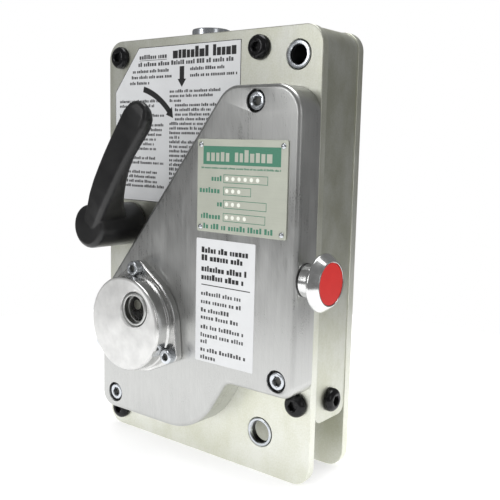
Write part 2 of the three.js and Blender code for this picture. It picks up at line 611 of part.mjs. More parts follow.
// ---- emergency button -------------------------------------------------------------------
function makeButton() {
  const at = [BUTTON.y, BUTTON.z];
  const flare = COLLAR_END + BUTTON_STROKE + 0.5;
  const neckEnd = COLLAR_END - 1;
  const head = turnedX(at, [
    [4, neckEnd], [4, BUTTON_FACE - 1.4], [11.3, BUTTON_FACE - 1.4], [11.3, BUTTON_FACE],
    [11.9, BUTTON_FACE], [15.3, BUTTON_FACE - 4.6], [15.3, BUTTON_FACE - 5.6],
    [8.4, flare], [BUTTON_NECK_R, flare], [BUTTON_NECK_R, neckEnd], [4, neckEnd],
  ], 28);
  add('button_head', head, BRIGHT);
  add('button_disc', rodX(at, 11, BUTTON_FACE - 1.2, BUTTON_FACE - 0.2, 28), RED);
  const stemEnd = 95.3;
  const stem = join(rodX(at, 3.6, stemEnd, BUTTON_FACE - 1.6, SMALL), rodX(at, 5, 126, 128, SMALL));
  add('button_stem', stem, STEEL);
  // the guide tube, with the collar on its outer end; the collar's foot is undercut
  const [boreR, foot] = [BUTTON_NECK_R + FIT, PLATE_W + TOUCH];
  const floor = neckEnd - BUTTON_STROKE - 0.3;
  const guide = turnedX(at, [
    [3.6 + FIT, 147], [5.4, 147], [5.4, foot], [7.8, foot], [7.8, foot + 0.6], [8.8, foot + 0.6],
    [8.8, COLLAR_END], [boreR, COLLAR_END], [boreR, floor], [3.6 + FIT, floor], [3.6 + FIT, 147],
  ], 24);
  add('button_guide', guide, STEEL);
}

// ---- front cover ------------------------------------------------------------------------
function makeCover() {
  const outline = roundedOutline(insetCorners(COVER_CORNERS, 0));
  const bevelled = new THREE.ExtrudeGeometry(outline, {
    depth: COVER_DEPTH, curveSegments: 4, bevelEnabled: true, bevelSegments: 2,
    bevelThickness: COVER_FILLET, bevelSize: COVER_FILLET, bevelOffset: -COVER_FILLET,
  });
  bevelled.rotateX(Math.PI / 2).translate(0, COVER_FILLET, 0);
  const behind = block(-10, PLATE_W + 10, -TOUCH, 30, -10, PLATE_H + 10);
  let shell = cut(solid(bevelled), behind);
  const hollow = roundedOutline(insetCorners(COVER_CORNERS, COVER_WALL));
  shell = cut(shell, slab(hollow, COVER_WALL - COVER_DEPTH, 5, 3));
  for (const at of Object.values(COVER_SCREWS)) {
    shell = join(shell, rodY(at, 7.6, COVER_WALL - COVER_DEPTH - 0.5, -TOUCH));
  }
  for (const at of Object.values(COVER_SCREWS)) {
    shell = cut(shell, rodY(at, 3 + FIT, -30, 5, SMALL));
    shell = cut(shell, rodY(at, COUNTERBORE_R, -COVER_DEPTH - 5, COUNTERBORE_DEPTH - COVER_DEPTH));
  }
  shell = cut(shell, rodY(GOVERNOR, 26, -30, -5, 28));
  for (const angle of EAR_ANGLES) {
    const at = polar(GOVERNOR, EAR_PCD_R, angle);
    shell = cut(shell, rodY(at, 2.5 + FIT, -25, -10, SMALL));
  }
  shell = cut(shell, rodX([BUTTON.y, BUTTON.z], 5.4 + FIT, 150, PLATE_W + 5));
  add('front_cover', shell, ALUMINIUM);

  for (const [name, at] of Object.entries(COVER_SCREWS)) {
    const seat = COUNTERBORE_DEPTH - COVER_DEPTH - TOUCH;
    const screw = turnedY(at, [[0, seat - 5.6], [4.5, seat - 5.6], [5, seat - 5.1], [5, seat],
      [3, seat], [3, 4.8], [0, 4.8]], 22);
    add(`cover_screw_${name}`, cut(screw, hexY(at, 5, seat - 7, seat - 2.6)), BRIGHT);
  }
}

function earedFlange() {
  const spread = Math.acos((FLANGE_R - EAR_R) / EAR_PCD_R);
  const shape = new THREE.Shape();
  for (const degrees of EAR_ANGLES) {
    const middle = THREE.MathUtils.degToRad(degrees);
    const [x, z] = polar(GOVERNOR, EAR_PCD_R, degrees);
    shape.absarc(x, z, EAR_R, middle - spread, middle + spread, false);
    shape.absarc(...GOVERNOR, FLANGE_R, middle + spread, middle + 2 * Math.PI / 3 - spread, false);
  }
  shape.closePath();
  return shape;
}

function makeGovernorCover() {
  const back = -COVER_DEPTH - TOUCH;
  const flangeFront = back - FLANGE_T;
  const drum = turnedY(GOVERNOR, [
    [0, DRUM_PEAK], [3, DRUM_PEAK], [DRUM_R - 1.2, DRUM_FRONT], [DRUM_R, DRUM_FRONT + 1.2],
    [DRUM_R, back - 2], [0, back - 2],
  ], 32);
  let cover = join(slab(earedFlange(), flangeFront, back, 4), drum);
  cover = cut(cover, rodY(GOVERNOR, DRUM_BORE_R, -30.4, 0, 28));
  cover = cut(cover, rodY(SIGHT, SIGHT_POCKET_R, -45, -32.4, 24), rodY(SIGHT, SIGHT_HOLE_R, -45, -20));
  for (const degrees of EAR_ANGLES) {
    const at = polar(GOVERNOR, EAR_PCD_R, degrees);
    const seatRoom = rodY(at, GOVERNOR_HEAD_R + 0.4, -40, flangeFront, 16);
    cover = cut(cover, rodY(at, 2.5 + FIT, -40, 0, SMALL), seatRoom);
  }
  add('governor_cover', cover, BRIGHT);

  EAR_ANGLES.forEach((degrees, i) => {
    const at = polar(GOVERNOR, EAR_PCD_R, degrees);
    const seat = flangeFront - TOUCH;
    const screw = turnedY(at, [
      [0, seat - 5], [GOVERNOR_HEAD_R - 0.4, seat - 5], [GOVERNOR_HEAD_R, seat - 4.6],
      [GOVERNOR_HEAD_R, seat], [2.5, seat], [2.5, -12], [0, -12]], SMALL);
    add(`governor_screw_${i + 1}`, cut(screw, hexY(at, 4, seat - 6, seat - 2.4)), BRIGHT);
  });
  const bezel = turnedY(SIGHT, [
    [8, -32.5], [8, -35.4], [8.6, -36], [9.6, -36], [10, -35.6], [10, -32.5], [8, -32.5],
  ], 24);
  add('sight_bezel', bezel, BRIGHT);
  add('sight_glass', rodY(SIGHT, 7.7, -34, -32.5, 24), GLASS);
}

function makeNameplate() {
  const [[x0, x1], [z0, z1]] = [NAMEPLATE.x, NAMEPLATE.z];
  const outline = roundedOutline([[x0, z0, 1], [x1, z0, 1], [x1, z1, 1], [x0, z1, 1]]);
  const back = -COVER_DEPTH - TOUCH;
  add('nameplate', slab(outline, back - NAMEPLATE.t, back, 3), PLATE_GREEN);
}

makePlates();
makeBand();
makeTies();
makeFrameScrews();
makeEyes();
makeRopeGuides();
makeGovernor();
makePressureRoller();
makeJaws();
makeJawSpring();
makeResetLever();
makeTrip();
makeButton();
makeCover();
makeGovernorCover();
makeNameplate();

export default ropeGrab;
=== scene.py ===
"""Looks of an overspeed rope grab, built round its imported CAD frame.

Lengths are millimetres from the lower left front corner of the front plate: x to the right,
y to the back, z up. solid_object() turns them into the frame's metres.
"""
import json
import math
import random

import bmesh
import bpy
from mathutils import Matrix, Vector
from mathutils.geometry import tessellate_polygon


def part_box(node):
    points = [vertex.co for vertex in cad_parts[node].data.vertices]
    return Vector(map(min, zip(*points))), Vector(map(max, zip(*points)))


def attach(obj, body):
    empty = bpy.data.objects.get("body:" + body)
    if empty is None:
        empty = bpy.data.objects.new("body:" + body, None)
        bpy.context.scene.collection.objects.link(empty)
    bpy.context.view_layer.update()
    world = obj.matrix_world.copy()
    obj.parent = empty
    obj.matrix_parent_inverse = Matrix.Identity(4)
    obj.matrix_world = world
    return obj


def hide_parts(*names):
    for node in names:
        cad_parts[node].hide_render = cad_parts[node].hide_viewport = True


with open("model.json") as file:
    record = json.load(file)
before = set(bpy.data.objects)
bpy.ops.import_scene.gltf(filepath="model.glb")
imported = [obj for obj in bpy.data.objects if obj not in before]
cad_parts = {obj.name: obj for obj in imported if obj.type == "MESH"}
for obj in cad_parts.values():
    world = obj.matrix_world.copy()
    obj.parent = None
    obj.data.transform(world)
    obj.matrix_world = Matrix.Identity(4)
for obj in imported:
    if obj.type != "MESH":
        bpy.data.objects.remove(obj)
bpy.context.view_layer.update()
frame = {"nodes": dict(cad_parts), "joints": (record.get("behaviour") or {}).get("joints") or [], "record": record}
MM = 0.001
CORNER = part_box("front_plate")[0]
NODE_SLOT = {part["node"]: part["material_slot"] for part in frame["record"]["subparts"]}


# ---- places taken from the CAD ------------------------------------------------------------
def span(node):
    """The lowest and highest corner of a CAD node."""
    lowest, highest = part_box(node)
    return (lowest - CORNER) / MM, (highest - CORNER) / MM


def middle(node):
    lowest, highest = span(node)
    return (lowest + highest) / 2


def in_plane(node):
    """The middle of a CAD node seen from the front, as (x, z)."""
    place = middle(node)
    return place.x, place.z


def frame_joint(name):
    """Where a joint sits, in metres."""
    return next(Vector(joint["pos_m"]) for joint in frame["joints"] if joint["name"] == name)


PLATE_WIDTH, PLATE_THICK, PLATE_HEIGHT = span("front_plate")[1]
REAR_INNER, REAR_OUTER = span("rear_plate")[0].y, span("rear_plate")[1].y
MID_Y = REAR_OUTER / 2
COVER_FRONT = span("front_cover")[0].y
COVER_BACK = span("front_cover")[1].y
GOVERNOR = in_plane("drive_wheel")
SIGHT = in_plane("sight_bezel")
LEVER = in_plane("reset_shaft")
BUTTON = (middle("button_disc").y, middle("button_disc").z)
ROPE = (middle("rope_inlet").x, MID_Y)
TIES = {name: in_plane("plate_screw_" + name) for name in ("tl", "tr", "br", "bl")}
COVER_SCREWS = {name: in_plane("cover_screw_" + name) for name in ("top", "right", "left")}
FLANGE_SCREWS = [in_plane(f"governor_screw_{i}") for i in (1, 2, 3)]
TOP_EYE, LOW_EYE = in_plane("top_eye_bush"), in_plane("low_eye_bush_front")
TRIP = tuple((frame_joint("trip_turn") - CORNER).xz / MM)
# the dot behind the sight glass; the sticker's sides x0, x1, z0, z1; the large label's corners
INDICATOR_DOT = (51.8, 91.2)
STICKER = (93, 135, 64.5, 135.2)
PLATE_LABEL = [(27, 245), (5.6, 218.7), (5.6, 151), (108, 151), (108, 245)]

# outlines, as in the CAD: x, z and corner radius
PLATE_CORNER = 11
COVER_FILLET = 2.5
COVER_WALL = 3
COVER_OUTLINE = [
    (12.3, 19, 9), (93.3, 19, 40), (115.5, 54.5, 7), (PLATE_WIDTH, 54.5, 8),
    (PLATE_WIDTH, 218.7, 16), (112.3, 218.7, 16), (12.3, 92.3, 15),
]
SCREW_BORE, SCREW_BORE_DEPTH = 6, 6.4


# ---- outlines -----------------------------------------------------------------------------
def polar(centre, radius, degrees):
    angle = math.radians(degrees)
    return centre[0] + radius * math.cos(angle), centre[1] + radius * math.sin(angle)


def circle(centre, radius, steps=64):
    return [polar(centre, radius, 360 * i / steps) for i in range(steps)]


def corner_arc(before, here, after, radius, steps):
    """Points of the arc that rounds a corner, from the first side to the second."""
    here = Vector(here)
    into = (Vector(before) - here).normalized()
    out = (Vector(after) - here).normalized()
    half = into.angle(out) / 2
    if radius <= 0 or half > math.pi / 2 - 1e-4:
        return [tuple(here)]
    centre = here + (into + out).normalized() * (radius / math.sin(half))
    start = here + into * (radius / math.tan(half)) - centre
    end = here + out * (radius / math.tan(half)) - centre
    first = math.atan2(start.y, start.x)
    turn = (math.atan2(end.y, end.x) - first + math.pi) % (2 * math.pi) - math.pi
    return [
        (centre.x + radius * math.cos(first + turn * i / steps),
         centre.y + radius * math.sin(first + turn * i / steps))
        for i in range(steps + 1)
    ]


def rounded(corners, steps=10, closed=True):
    """Points along (a, b, radius) corners joined by straight lines and tangent arcs."""
    points = []
    count = len(corners)
    for i, (a, b, radius) in enumerate(corners):
        if not closed and i in (0, count - 1):
            points.append((a, b))
            continue
        before, after = corners[i - 1][:2], corners[(i + 1) % count][:2]
        points.extend(corner_arc(before, (a, b), after, radius, steps))
    return points


def inset(points, distance):
    """An anticlockwise outline with every side moved inwards."""
    moved = []
    count = len(points)
    for i, point in enumerate(points):
        here = Vector(point)
        into = (here - Vector(points[i - 1])).normalized()
        out = (Vector(points[(i + 1) % count]) - here).normalized()
        left = Vector((-into.y, into.x))
        other = Vector((-out.y, out.x))
        moved.append(tuple(here + (left + other) * (distance / (1 + left.dot(other)))))
    return moved


def inset_corners(corners, distance):
    """The same corners with every side moved inwards and the radii fitted to it."""
    points = inset([corner[:2] for corner in corners], distance)
    fitted = []
    count = len(corners)
    for i, (x, z, radius) in enumerate(corners):
        here = Vector((x, z))
        into = here - Vector(corners[i - 1][:2])
        out = Vector(corners[(i + 1) % count][:2]) - here
        turns_left = into.cross(out) > 0
        fitted.append((*points[i], max(0.5, radius + (-distance if turns_left else distance))))
    return fitted


def rectangle(x0, x1, z0, z1, radius=0.0):
    return [(x0, z0, radius), (x1, z0, radius), (x1, z1, radius), (x0, z1, radius)]


# ---- meshes -------------------------------------------------------------------------------
class Surface:
    """Gathers rings of points, joined by strips and closed by flat caps, for one closed mesh."""

    def __init__(self):
        self.points = []
        self.faces = []
        self.flat_edges = set()

    def ring(self, points):
        first = len(self.points)
        self.points.extend(Vector(point) for point in points)
        return list(range(first, len(self.points)))

    def strip(self, a, b):
        count = len(a)
        for i in range(count):
            k = (i + 1) % count
            self.faces.append((a[i], a[k], b[k], b[i]))

    def chain(self, rings, closed=False):
        for a, b in zip(rings, rings[1:]):
            self.strip(a, b)
        if closed:
            self.strip(rings[-1], rings[0])

    def round_hole(self, centre, steps, count=64):
        """A stepped hole along Y, from (radius, y) pairs. Returns its rings."""
        rings = [self.ring(level(circle(centre, radius, count), y)) for radius, y in steps]
        self.chain(rings)
        return rings

    def cap(self, *rings):
        """A flat face inside the first ring, with the others as its holes."""
        flat = [index for ring in rings for index in ring]
        for triangle in tessellate_polygon([[self.points[i] for i in ring] for ring in rings]):
            self.faces.append(tuple(flat[i] for i in triangle))
        for ring in rings:
            for i, index in enumerate(ring):
                self.flat_edges.add(frozenset((ring[i - 1], index)))

    def disc(self, ring):
        self.faces.append(tuple(ring))
        for i, index in enumerate(ring):
            self.flat_edges.add(frozenset((ring[i - 1], index)))


def solid_object(name, surface, material, sharp=32):
    """The surface as an object in the frame's metres, smooth but for its sharp edges."""
    mesh = bpy.data.meshes.new(name)
    mesh.from_pydata([CORNER + point * MM for point in surface.points], [], surface.faces)
    work = bmesh.new()
    work.from_mesh(mesh)
    work.edges.ensure_lookup_table()
    for edge in work.edges:
        if frozenset(vert.index for vert in edge.verts) in surface.flat_edges:
            edge.smooth = False
    bmesh.ops.recalc_face_normals(work, faces=work.faces)
    if work.calc_volume(signed=True) < 0:
        bmesh.ops.reverse_faces(work, faces=work.faces)
    work.to_mesh(mesh)
    work.free()
    mesh.shade_smooth()
    kept = [edge.use_edge_sharp for edge in mesh.edges]
    mesh.set_sharp_from_angle(angle=math.radians(sharp))
    for edge, was_sharp in zip(mesh.edges, kept):
        edge.use_edge_sharp = edge.use_edge_sharp or was_sharp
    return place_mesh(name, mesh, material)


def place_mesh(name, mesh, material):
    piece = bpy.data.objects.new(name, mesh)
    bpy.context.scene.collection.objects.link(piece)
    mesh.materials.append(material)
    weighted = piece.modifiers.new("weighted_normals", "WEIGHTED_NORMAL")
    weighted.keep_sharp = True
    return piece


def frozen(piece):
    """Applies a piece's modifiers, so that what follows works on the finished mesh."""
    evaluated = piece.evaluated_get(bpy.context.evaluated_depsgraph_get())
    mesh = bpy.data.meshes.new_from_object(evaluated)
    piece.modifiers.clear()
    piece.data = mesh
    return piece


def bored(piece, *cutters, sharp=32):
    """Cuts the cutter objects out of a piece and removes them."""
    piece.modifiers.clear()
    for cutter in cutters:
        cut = piece.modifiers.new("bore", "BOOLEAN")
        cut.operation = "DIFFERENCE"
        cut.solver = "EXACT"
        cut.object = cutter
    bpy.context.view_layer.update()
    frozen(piece)
    for cutter in cutters:
        bpy.data.objects.remove(cutter)
    piece.data.shade_smooth()
    piece.data.set_sharp_from_angle(angle=math.radians(sharp))
    weighted = piece.modifiers.new("weighted_normals", "WEIGHTED_NORMAL")
    weighted.keep_sharp = True
    return piece


def on_axis(axis, centre, radius, angle, along):
    """A point about an axis along "x", "y" or "z" through centre."""
    a, b = radius * math.cos(angle), radius * math.sin(angle)
    if axis == "x":
        return along, centre[0] + a, centre[1] + b
    if axis == "y":
        return centre[0] + a, along, centre[1] + b
    return centre[0] + a, centre[1] + b, along


def turned_surface(surface, axis, centre, profile, steps=96, closed=False):
    """A turned shape. Profile points are (radius, place along the axis); a radius may be a
    function of the angle, for sockets and knurls."""
    rings = []
    for radius, along in profile:
        angles = [2 * math.pi * i / steps for i in range(steps)]
        rings.append(surface.ring([
            on_axis(axis, centre, radius(angle) if callable(radius) else radius, angle, along)
            for angle in angles
        ]))
    surface.chain(rings, closed)
    if not closed:
        surface.disc(rings[0])
        surface.disc(rings[-1])
    return surface


def turned(name, axis, centre, profile, material, steps=96, closed=False, sharp=32):
    surface = turned_surface(Surface(), axis, centre, profile, steps, closed)
    return solid_object(name, surface, material, sharp)


def hexagon(across):
    """Radius of a hexagon, by angle, for a socket."""
    return lambda angle: across / 2 / math.cos((angle % (math.pi / 3)) - math.pi / 6)


def knurl(radius, ridges, depth):
    return lambda angle: radius - depth * (0.5 - 0.5 * math.cos(ridges * angle))


def level(points, y):
    return [(x, y, z) for x, z in points]


def fillet_steps(size, steps=5):
    """(inwards, back) offsets of a quarter round, from the flat face to the side."""
    quarter = [math.pi / 2 * i / steps for i in range(steps + 1)]
    return [(size * (1 - math.sin(angle)), size * (1 - math.cos(angle))) for angle in quarter]


def slab(name, outline, y0, y1, material, edge=0.4, holes=(), pockets=(), steps=3):
    """An outline pushed along Y from y0 to y1 with rounded edges.
    Holes are (centre, radius) right through; pockets are (centre, radius, face y, floor y)."""
    surface = Surface()
    round_over = fillet_steps(edge, steps)
    rings = [surface.ring(level(inset(outline, side), y0 + back)) for side, back in round_over]
    rings += [surface.ring(level(inset(outline, side), y1 - back)) for side, back in reversed(round_over)]
    surface.chain(rings)
    openings = {y0: [rings[0]], y1: [rings[-1]]}
    for centre, radius in holes:
        lip = min(edge, 0.4)
        wide = radius + lip
        bore = surface.round_hole(centre, [(wide, y0), (radius, y0 + lip), (radius, y1 - lip), (wide, y1)])
        openings[y0].append(bore[0])
        openings[y1].append(bore[-1])
    for centre, radius, face, floor in pockets:
        bore = surface.round_hole(centre, [(radius, face), (radius, floor)], 32)
        surface.disc(bore[-1])
        openings[face].append(bore[0])
    surface.cap(*openings[y0])
    surface.cap(*openings[y1])
    return solid_object(name, surface, material)


# ---- materials ----------------------------------------------------------------------------
class Finish:
    """A Principled material with object coordinates in millimetres for its patterns."""

    def __init__(self, name, colour, metallic, roughness):
        self.material = bpy.data.materials.new(name)
        self.material.use_nodes = True
        self.tree = self.material.node_tree
        self.shader = self.tree.nodes["Principled BSDF"]
        self.shader.inputs["Base Color"].default_value = (*colour, 1)
        self.shader.inputs["Metallic"].default_value = metallic
        self.shader.inputs["Roughness"].default_value = roughness

    def node(self, kind, **inputs):
        made = self.tree.nodes.new(kind)
        for key, value in inputs.items():
            made.inputs[key].default_value = value
        return made

    def link(self, source, target):
        self.tree.links.new(source, target)

    def coordinates(self, stretch, turn):
        """Object coordinates in millimetres divided by stretch."""
        source = self.tree.nodes.new("ShaderNodeTexCoord")
        turned_by = self.node("ShaderNodeMapping", Rotation=turn)
        divided = self.node("ShaderNodeMapping", Scale=tuple(1 / MM / size for size in stretch))
        self.link(source.outputs["Object"], turned_by.inputs["Vector"])
        self.link(turned_by.outputs["Vector"], divided.inputs["Vector"])
        return divided.outputs["Vector"]

    def noise(self, stretch=(1, 1, 1), detail=3.0, rough=0.55, turn=(0, 0, 0)):
        made = self.node("ShaderNodeTexNoise", Scale=1.0, Detail=detail, Roughness=rough)
        self.link(self.coordinates(stretch, turn), made.inputs["Vector"])
        return made.outputs["Fac"]

    def ramp(self, value, low, high, start=0.3, end=0.7):
        made = self.node("ShaderNodeMapRange")
        made.inputs["From Min"].default_value = start
        made.inputs["From Max"].default_value = end
        made.inputs["To Min"].default_value = low
        made.inputs["To Max"].default_value = high
        self.link(value, made.inputs["Value"])
        return made.outputs["Result"]

    def add(self, a, b, share=0.5):
        made = self.tree.nodes.new("ShaderNodeMix")
        made.inputs["Factor"].default_value = share
        self.link(a, made.inputs["A"])
        self.link(b, made.inputs["B"])
        return made.outputs["Result"]

    def shade(self, pattern, low, high, start=0.3, end=0.7):
        """Base colour that goes from low to high with a pattern."""
        value = self.ramp(pattern, 0, 1, start, end)
        made = self.tree.nodes.new("ShaderNodeMix")
        made.data_type = "RGBA"
        made.inputs["A"].default_value = (*low, 1)
        made.inputs["B"].default_value = (*high, 1)
        self.link(value, made.inputs["Factor"])
        self.link(made.outputs["Result"], self.shader.inputs["Base Color"])

    def roughness(self, socket):
        self.link(socket, self.shader.inputs["Roughness"])

    def bump(self, height, strength, depth):
        made = self.node("ShaderNodeBump", Strength=strength, Distance=depth * MM)
        self.link(height, made.inputs["Height"])
        self.link(made.outputs["Normal"], self.shader.inputs["Normal"])


def scaled(colour, factor):
    return tuple(min(1.0, part * factor) for part in colour)


def zinc(name, colour, patch=22):
    """Satin zinc plate: cloudy patches, fine speckle and a faint rolled grain."""
    finish = Finish(name, colour, 1.0, 0.42)
    cloud = finish.noise((patch, patch, patch * 1.6), 5)
    speckle = finish.noise((0.9, 0.9, 0.9), 2)
    grain = finish.noise((0.5, 0.5, 14), 2)
    both = finish.add(cloud, speckle, 0.3)
    stained = (colour[0] * 0.88, colour[1] * 0.88, colour[2] * 0.80)
    finish.shade(both, stained, scaled(colour, 1.06), 0.38, 0.62)
    finish.roughness(finish.ramp(finish.add(cloud, grain, 0.5), 0.34, 0.50))
    finish.bump(finish.add(speckle, grain, 0.5), 0.18, 0.05)
    return finish.material


def brushed_aluminium(name, colour):
    """Vertical brushing, with slanting tool scratches and light scuffs over it."""
    finish = Finish(name, colour, 1.0, 0.36)
    brushing = finish.noise((0.28, 0.28, 30), 3)
    bands = finish.noise((1.8, 1.8, 60), 4, 0.7)
    scratches = finish.noise((0.25, 0.25, 16), 2, turn=(0, math.radians(24), 0))
    clouds = finish.noise((16, 16, 34), 4)
    lines = finish.add(brushing, bands, 0.35)
    worn = finish.add(finish.add(lines, scratches, 0.35), clouds, 0.4)
    finish.shade(worn, scaled(colour, 0.80), scaled(colour, 1.12), 0.35, 0.65)
    finish.roughness(finish.ramp(worn, 0.24, 0.44, 0.38, 0.62))
    finish.bump(finish.add(brushing, scratches, 0.3), 0.08, 0.02)
    return finish.material


def turned_aluminium(name, colour, centre):
    """Satin turned face with fine circles about the axis; its rim and the flange are brighter."""
    finish = Finish(name, colour, 1.0, 0.24)
    source = finish.tree.nodes.new("ShaderNodeTexCoord")
    place = CORNER + Vector((centre[0], 0, centre[1])) * MM
    moved = finish.node("ShaderNodeMapping", Location=(-place.x, 0, -place.z))
    parts = finish.tree.nodes.new("ShaderNodeSeparateXYZ")
    flat = finish.tree.nodes.new("ShaderNodeCombineXYZ")
    length = finish.tree.nodes.new("ShaderNodeVectorMath")
    length.operation = "LENGTH"
    finish.link(source.outputs["Object"], moved.inputs["Vector"])
    finish.link(moved.outputs["Vector"], parts.inputs["Vector"])
    finish.link(parts.outputs["X"], flat.inputs["X"])
    finish.link(parts.outputs["Z"], flat.inputs["Z"])
    finish.link(flat.outputs["Vector"], length.inputs[0])
    rings = finish.tree.nodes.new("ShaderNodeTexNoise")
    rings.noise_dimensions = "1D"
    rings.inputs["Scale"].default_value = 1 / (0.35 * MM)
    rings.inputs["Detail"].default_value = 3
    finish.link(length.outputs["Value"], rings.inputs["W"])
    cloud = finish.noise((9, 9, 9), 4)
    finish.shade(cloud, scaled(colour, 0.80), scaled(colour, 1.02))
    radius = length.outputs["Value"]
    face_end, wall = 26.4 * MM, 28.2 * MM
    finish.roughness(finish.ramp(radius, 0.4, 0.2, face_end, wall))
    finish.link(finish.ramp(radius, 0.45, 1.0, face_end, wall), finish.shader.inputs["Metallic"])
    finish.bump(rings.outputs["Fac"], 0.06, 0.02)
    return finish.material


def bright_metal(name, colour, smooth=0.14, rough=0.3, size=2.5):
    """Bright plating with faint handling marks."""
    finish = Finish(name, colour, 1.0, smooth)
    marks = finish.noise((size, size, size), 4)
    fine = finish.noise((0.4, 0.4, 0.4), 2)
    finish.shade(marks, scaled(colour, 0.9), scaled(colour, 1.05))
    finish.roughness(finish.ramp(finish.add(marks, fine, 0.4), smooth, rough))
    finish.bump(fine, 0.05, 0.02)
    return finish.material


def machined_steel(name, colour):
    finish = Finish(name, colour, 1.0, 0.35)
    grain = finish.noise((0.5, 6, 0.5), 3)
    stain = finish.noise((8, 8, 8), 4)
    finish.shade(stain, scaled(colour, 0.8), scaled(colour, 1.1))
    finish.roughness(finish.ramp(finish.add(grain, stain, 0.5), 0.26, 0.48))
    finish.bump(grain, 0.2, 0.03)
    return finish.material


def black_oxide(name):
    finish = Finish(name, (0.012, 0.012, 0.013), 0.6, 0.22)
    marks = finish.noise((1.2, 1.2, 1.2), 4)
    finish.shade(marks, (0.006, 0.006, 0.007), (0.022, 0.022, 0.023))
    finish.roughness(finish.ramp(marks, 0.14, 0.26))
    finish.bump(marks, 0.02, 0.01)
    return finish.material


def black_plastic(name):
    """Glass-filled moulding: fine spark-eroded texture and a soft sheen."""
    finish = Finish(name, (0.013, 0.013, 0.014), 0.0, 0.4)
    grain = finish.noise((0.35, 0.35, 0.35), 2)
    rub = finish.noise((11, 11, 11), 4)
    finish.shade(rub, (0.006, 0.006, 0.0065), (0.011, 0.011, 0.0115))
    finish.roughness(finish.ramp(finish.add(rub, grain, 0.3), 0.28, 0.42))
    finish.bump(grain, 0.22, 0.05)
    return finish.material


def red_disc(name):
    finish = Finish(name, (0.62, 0.018, 0.014), 0.0, 0.34)
    wave = finish.noise((5, 5, 5), 3)
    fine = finish.noise((0.5, 0.5, 0.5), 2)
    finish.shade(wave, (0.51, 0.011, 0.009), (0.54, 0.014, 0.011))
    finish.roughness(finish.ramp(fine, 0.3, 0.4))
    finish.bump(fine, 0.06, 0.02)
    return finish.material


def brass(name):
    finish = Finish(name, (0.55, 0.40, 0.16), 1.0, 0.3)
    grain = finish.noise((0.4, 5, 0.4), 3)
    stain = finish.noise((5, 5, 5), 4)
    finish.shade(stain, (0.46, 0.32, 0.12), (0.62, 0.46, 0.20))
    finish.roughness(finish.ramp(grain, 0.22, 0.42))
    finish.bump(grain, 0.15, 0.03)
    return finish.material


# Dark paint of the indicator disc; the same material is also painted shade in the screw sockets, the screw bores
# and behind the sight glass.
def dark_paint_and_shade(name):
    finish = Finish(name, (0.022, 0.022, 0.020), 0.0, 0.5)
    fleck = finish.noise((0.8, 0.8, 0.8), 3)
    finish.shade(fleck, (0.05, 0.05, 0.045), (0.11, 0.11, 0.10))
    finish.roughness(finish.ramp(fleck, 0.4, 0.6))
    finish.bump(fleck, 0.15, 0.04)
    return finish.material


def clear_glass(name):
    finish = Finish(name, (0.02, 0.02, 0.02), 0.0, 0.04)
    finish.shader.inputs["Alpha"].default_value = 0.12
    dust = finish.noise((3, 3, 3), 3)
    finish.roughness(finish.ramp(dust, 0.02, 0.07))
    return finish.material


def printed_plate(name, colour):
    """Thin printed aluminium: satin lacquer over a fine horizontal grain."""
    finish = Finish(name, colour, 0.35, 0.36)
    grain = finish.noise((18, 18, 0.3), 3)
    cloud = finish.noise((12, 12, 12), 4)
    finish.shade(finish.add(grain, cloud, 0.5), scaled(colour, 0.93), scaled(colour, 1.05))
    finish.roughness(finish.ramp(cloud, 0.3, 0.44))
    finish.bump(grain, 0.1, 0.02)
    return finish.material


def label_film(name, colour, gloss=0.32):
    finish = Finish(name, colour, 0.0, gloss)
    cloud = finish.noise((14, 14, 14), 4)
    fine = finish.noise((0.6, 0.6, 0.6), 2)
    finish.shade(cloud, scaled(colour, 0.96), scaled(colour, 1.02))
    finish.roughness(finish.ramp(fine, gloss - 0.05, gloss + 0.08))
    finish.bump(cloud, 0.05, 0.04)
    return finish.material


def ink(name, colour):
    finish = Finish(name, colour, 0.0, 0.4)
    fleck = finish.noise((0.5, 0.5, 0.5), 2)
    finish.shade(fleck, scaled(colour, 0.85), scaled(colour, 1.15))
    finish.roughness(finish.ramp(fleck, 0.34, 0.5))
    return finish.material


ZINC_COLOUR = (0.80, 0.81, 0.745)
FINISHES = {
    "zinc_plate": zinc("zinc_plate", ZINC_COLOUR),
    "band_steel": zinc("band_steel", (0.66, 0.67, 0.61), 14),
    "aluminium": brushed_aluminium("aluminium", (0.58, 0.585, 0.575)),
    "turned_aluminium": turned_aluminium("turned_aluminium", (0.74, 0.74, 0.73), GOVERNOR),
    "bright_zinc": bright_metal("bright_zinc", (0.66, 0.69, 0.73), 0.15, 0.32),
    "plain_steel": machined_steel("plain_steel", (0.44, 0.445, 0.45)),
    "black_steel": black_oxide("black_steel"),
    "black_plastic": black_plastic("black_plastic"),
    "red_disc": red_disc("red_disc"),
    "polished_steel": bright_metal("polished_steel", (0.78, 0.785, 0.78), 0.13, 0.24, 4),
    "weight_brass": brass("weight_brass"),
    # the indicator disc's dark paint, also used as painted shade in sockets, bores and behind the sight glass
    "dark_disc": dark_paint_and_shade("dark_disc"),
    "sight_glass": clear_glass("sight_glass"),
    "nameplate": printed_plate("nameplate", (0.51, 0.53, 0.455)),
}
LABEL_WHITE = label_film("label_white", (0.60, 0.61, 0.62))
STICKER_WHITE = label_film("sticker_white", (0.68, 0.69, 0.70), 0.36)
INK_BLACK = ink("ink_black", (0.012, 0.012, 0.013))
INK_GREY = ink("ink_grey", (0.045, 0.045, 0.047))
INK_GREEN = ink("ink_green", (0.055, 0.20, 0.13))
PAINT_PALE = ink("paint_pale", (0.82, 0.82, 0.70))
STAMPED = label_film("stamped_pale", (0.80, 0.82, 0.74))


def dress_cad():
    """Every CAD node gets the procedural finish of its slot."""
    for node, piece in frame["nodes"].items():
        piece.data.materials.clear()
        piece.data.materials.append(FINISHES[NODE_SLOT[node]])


def stand_for(piece, body, *nodes):
    """The piece rides on a body in place of CAD nodes."""
    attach(piece, body)
    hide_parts(*nodes)


def extra(piece, body):
    """A piece of its own that the CAD doesn't have."""
    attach(piece, body)


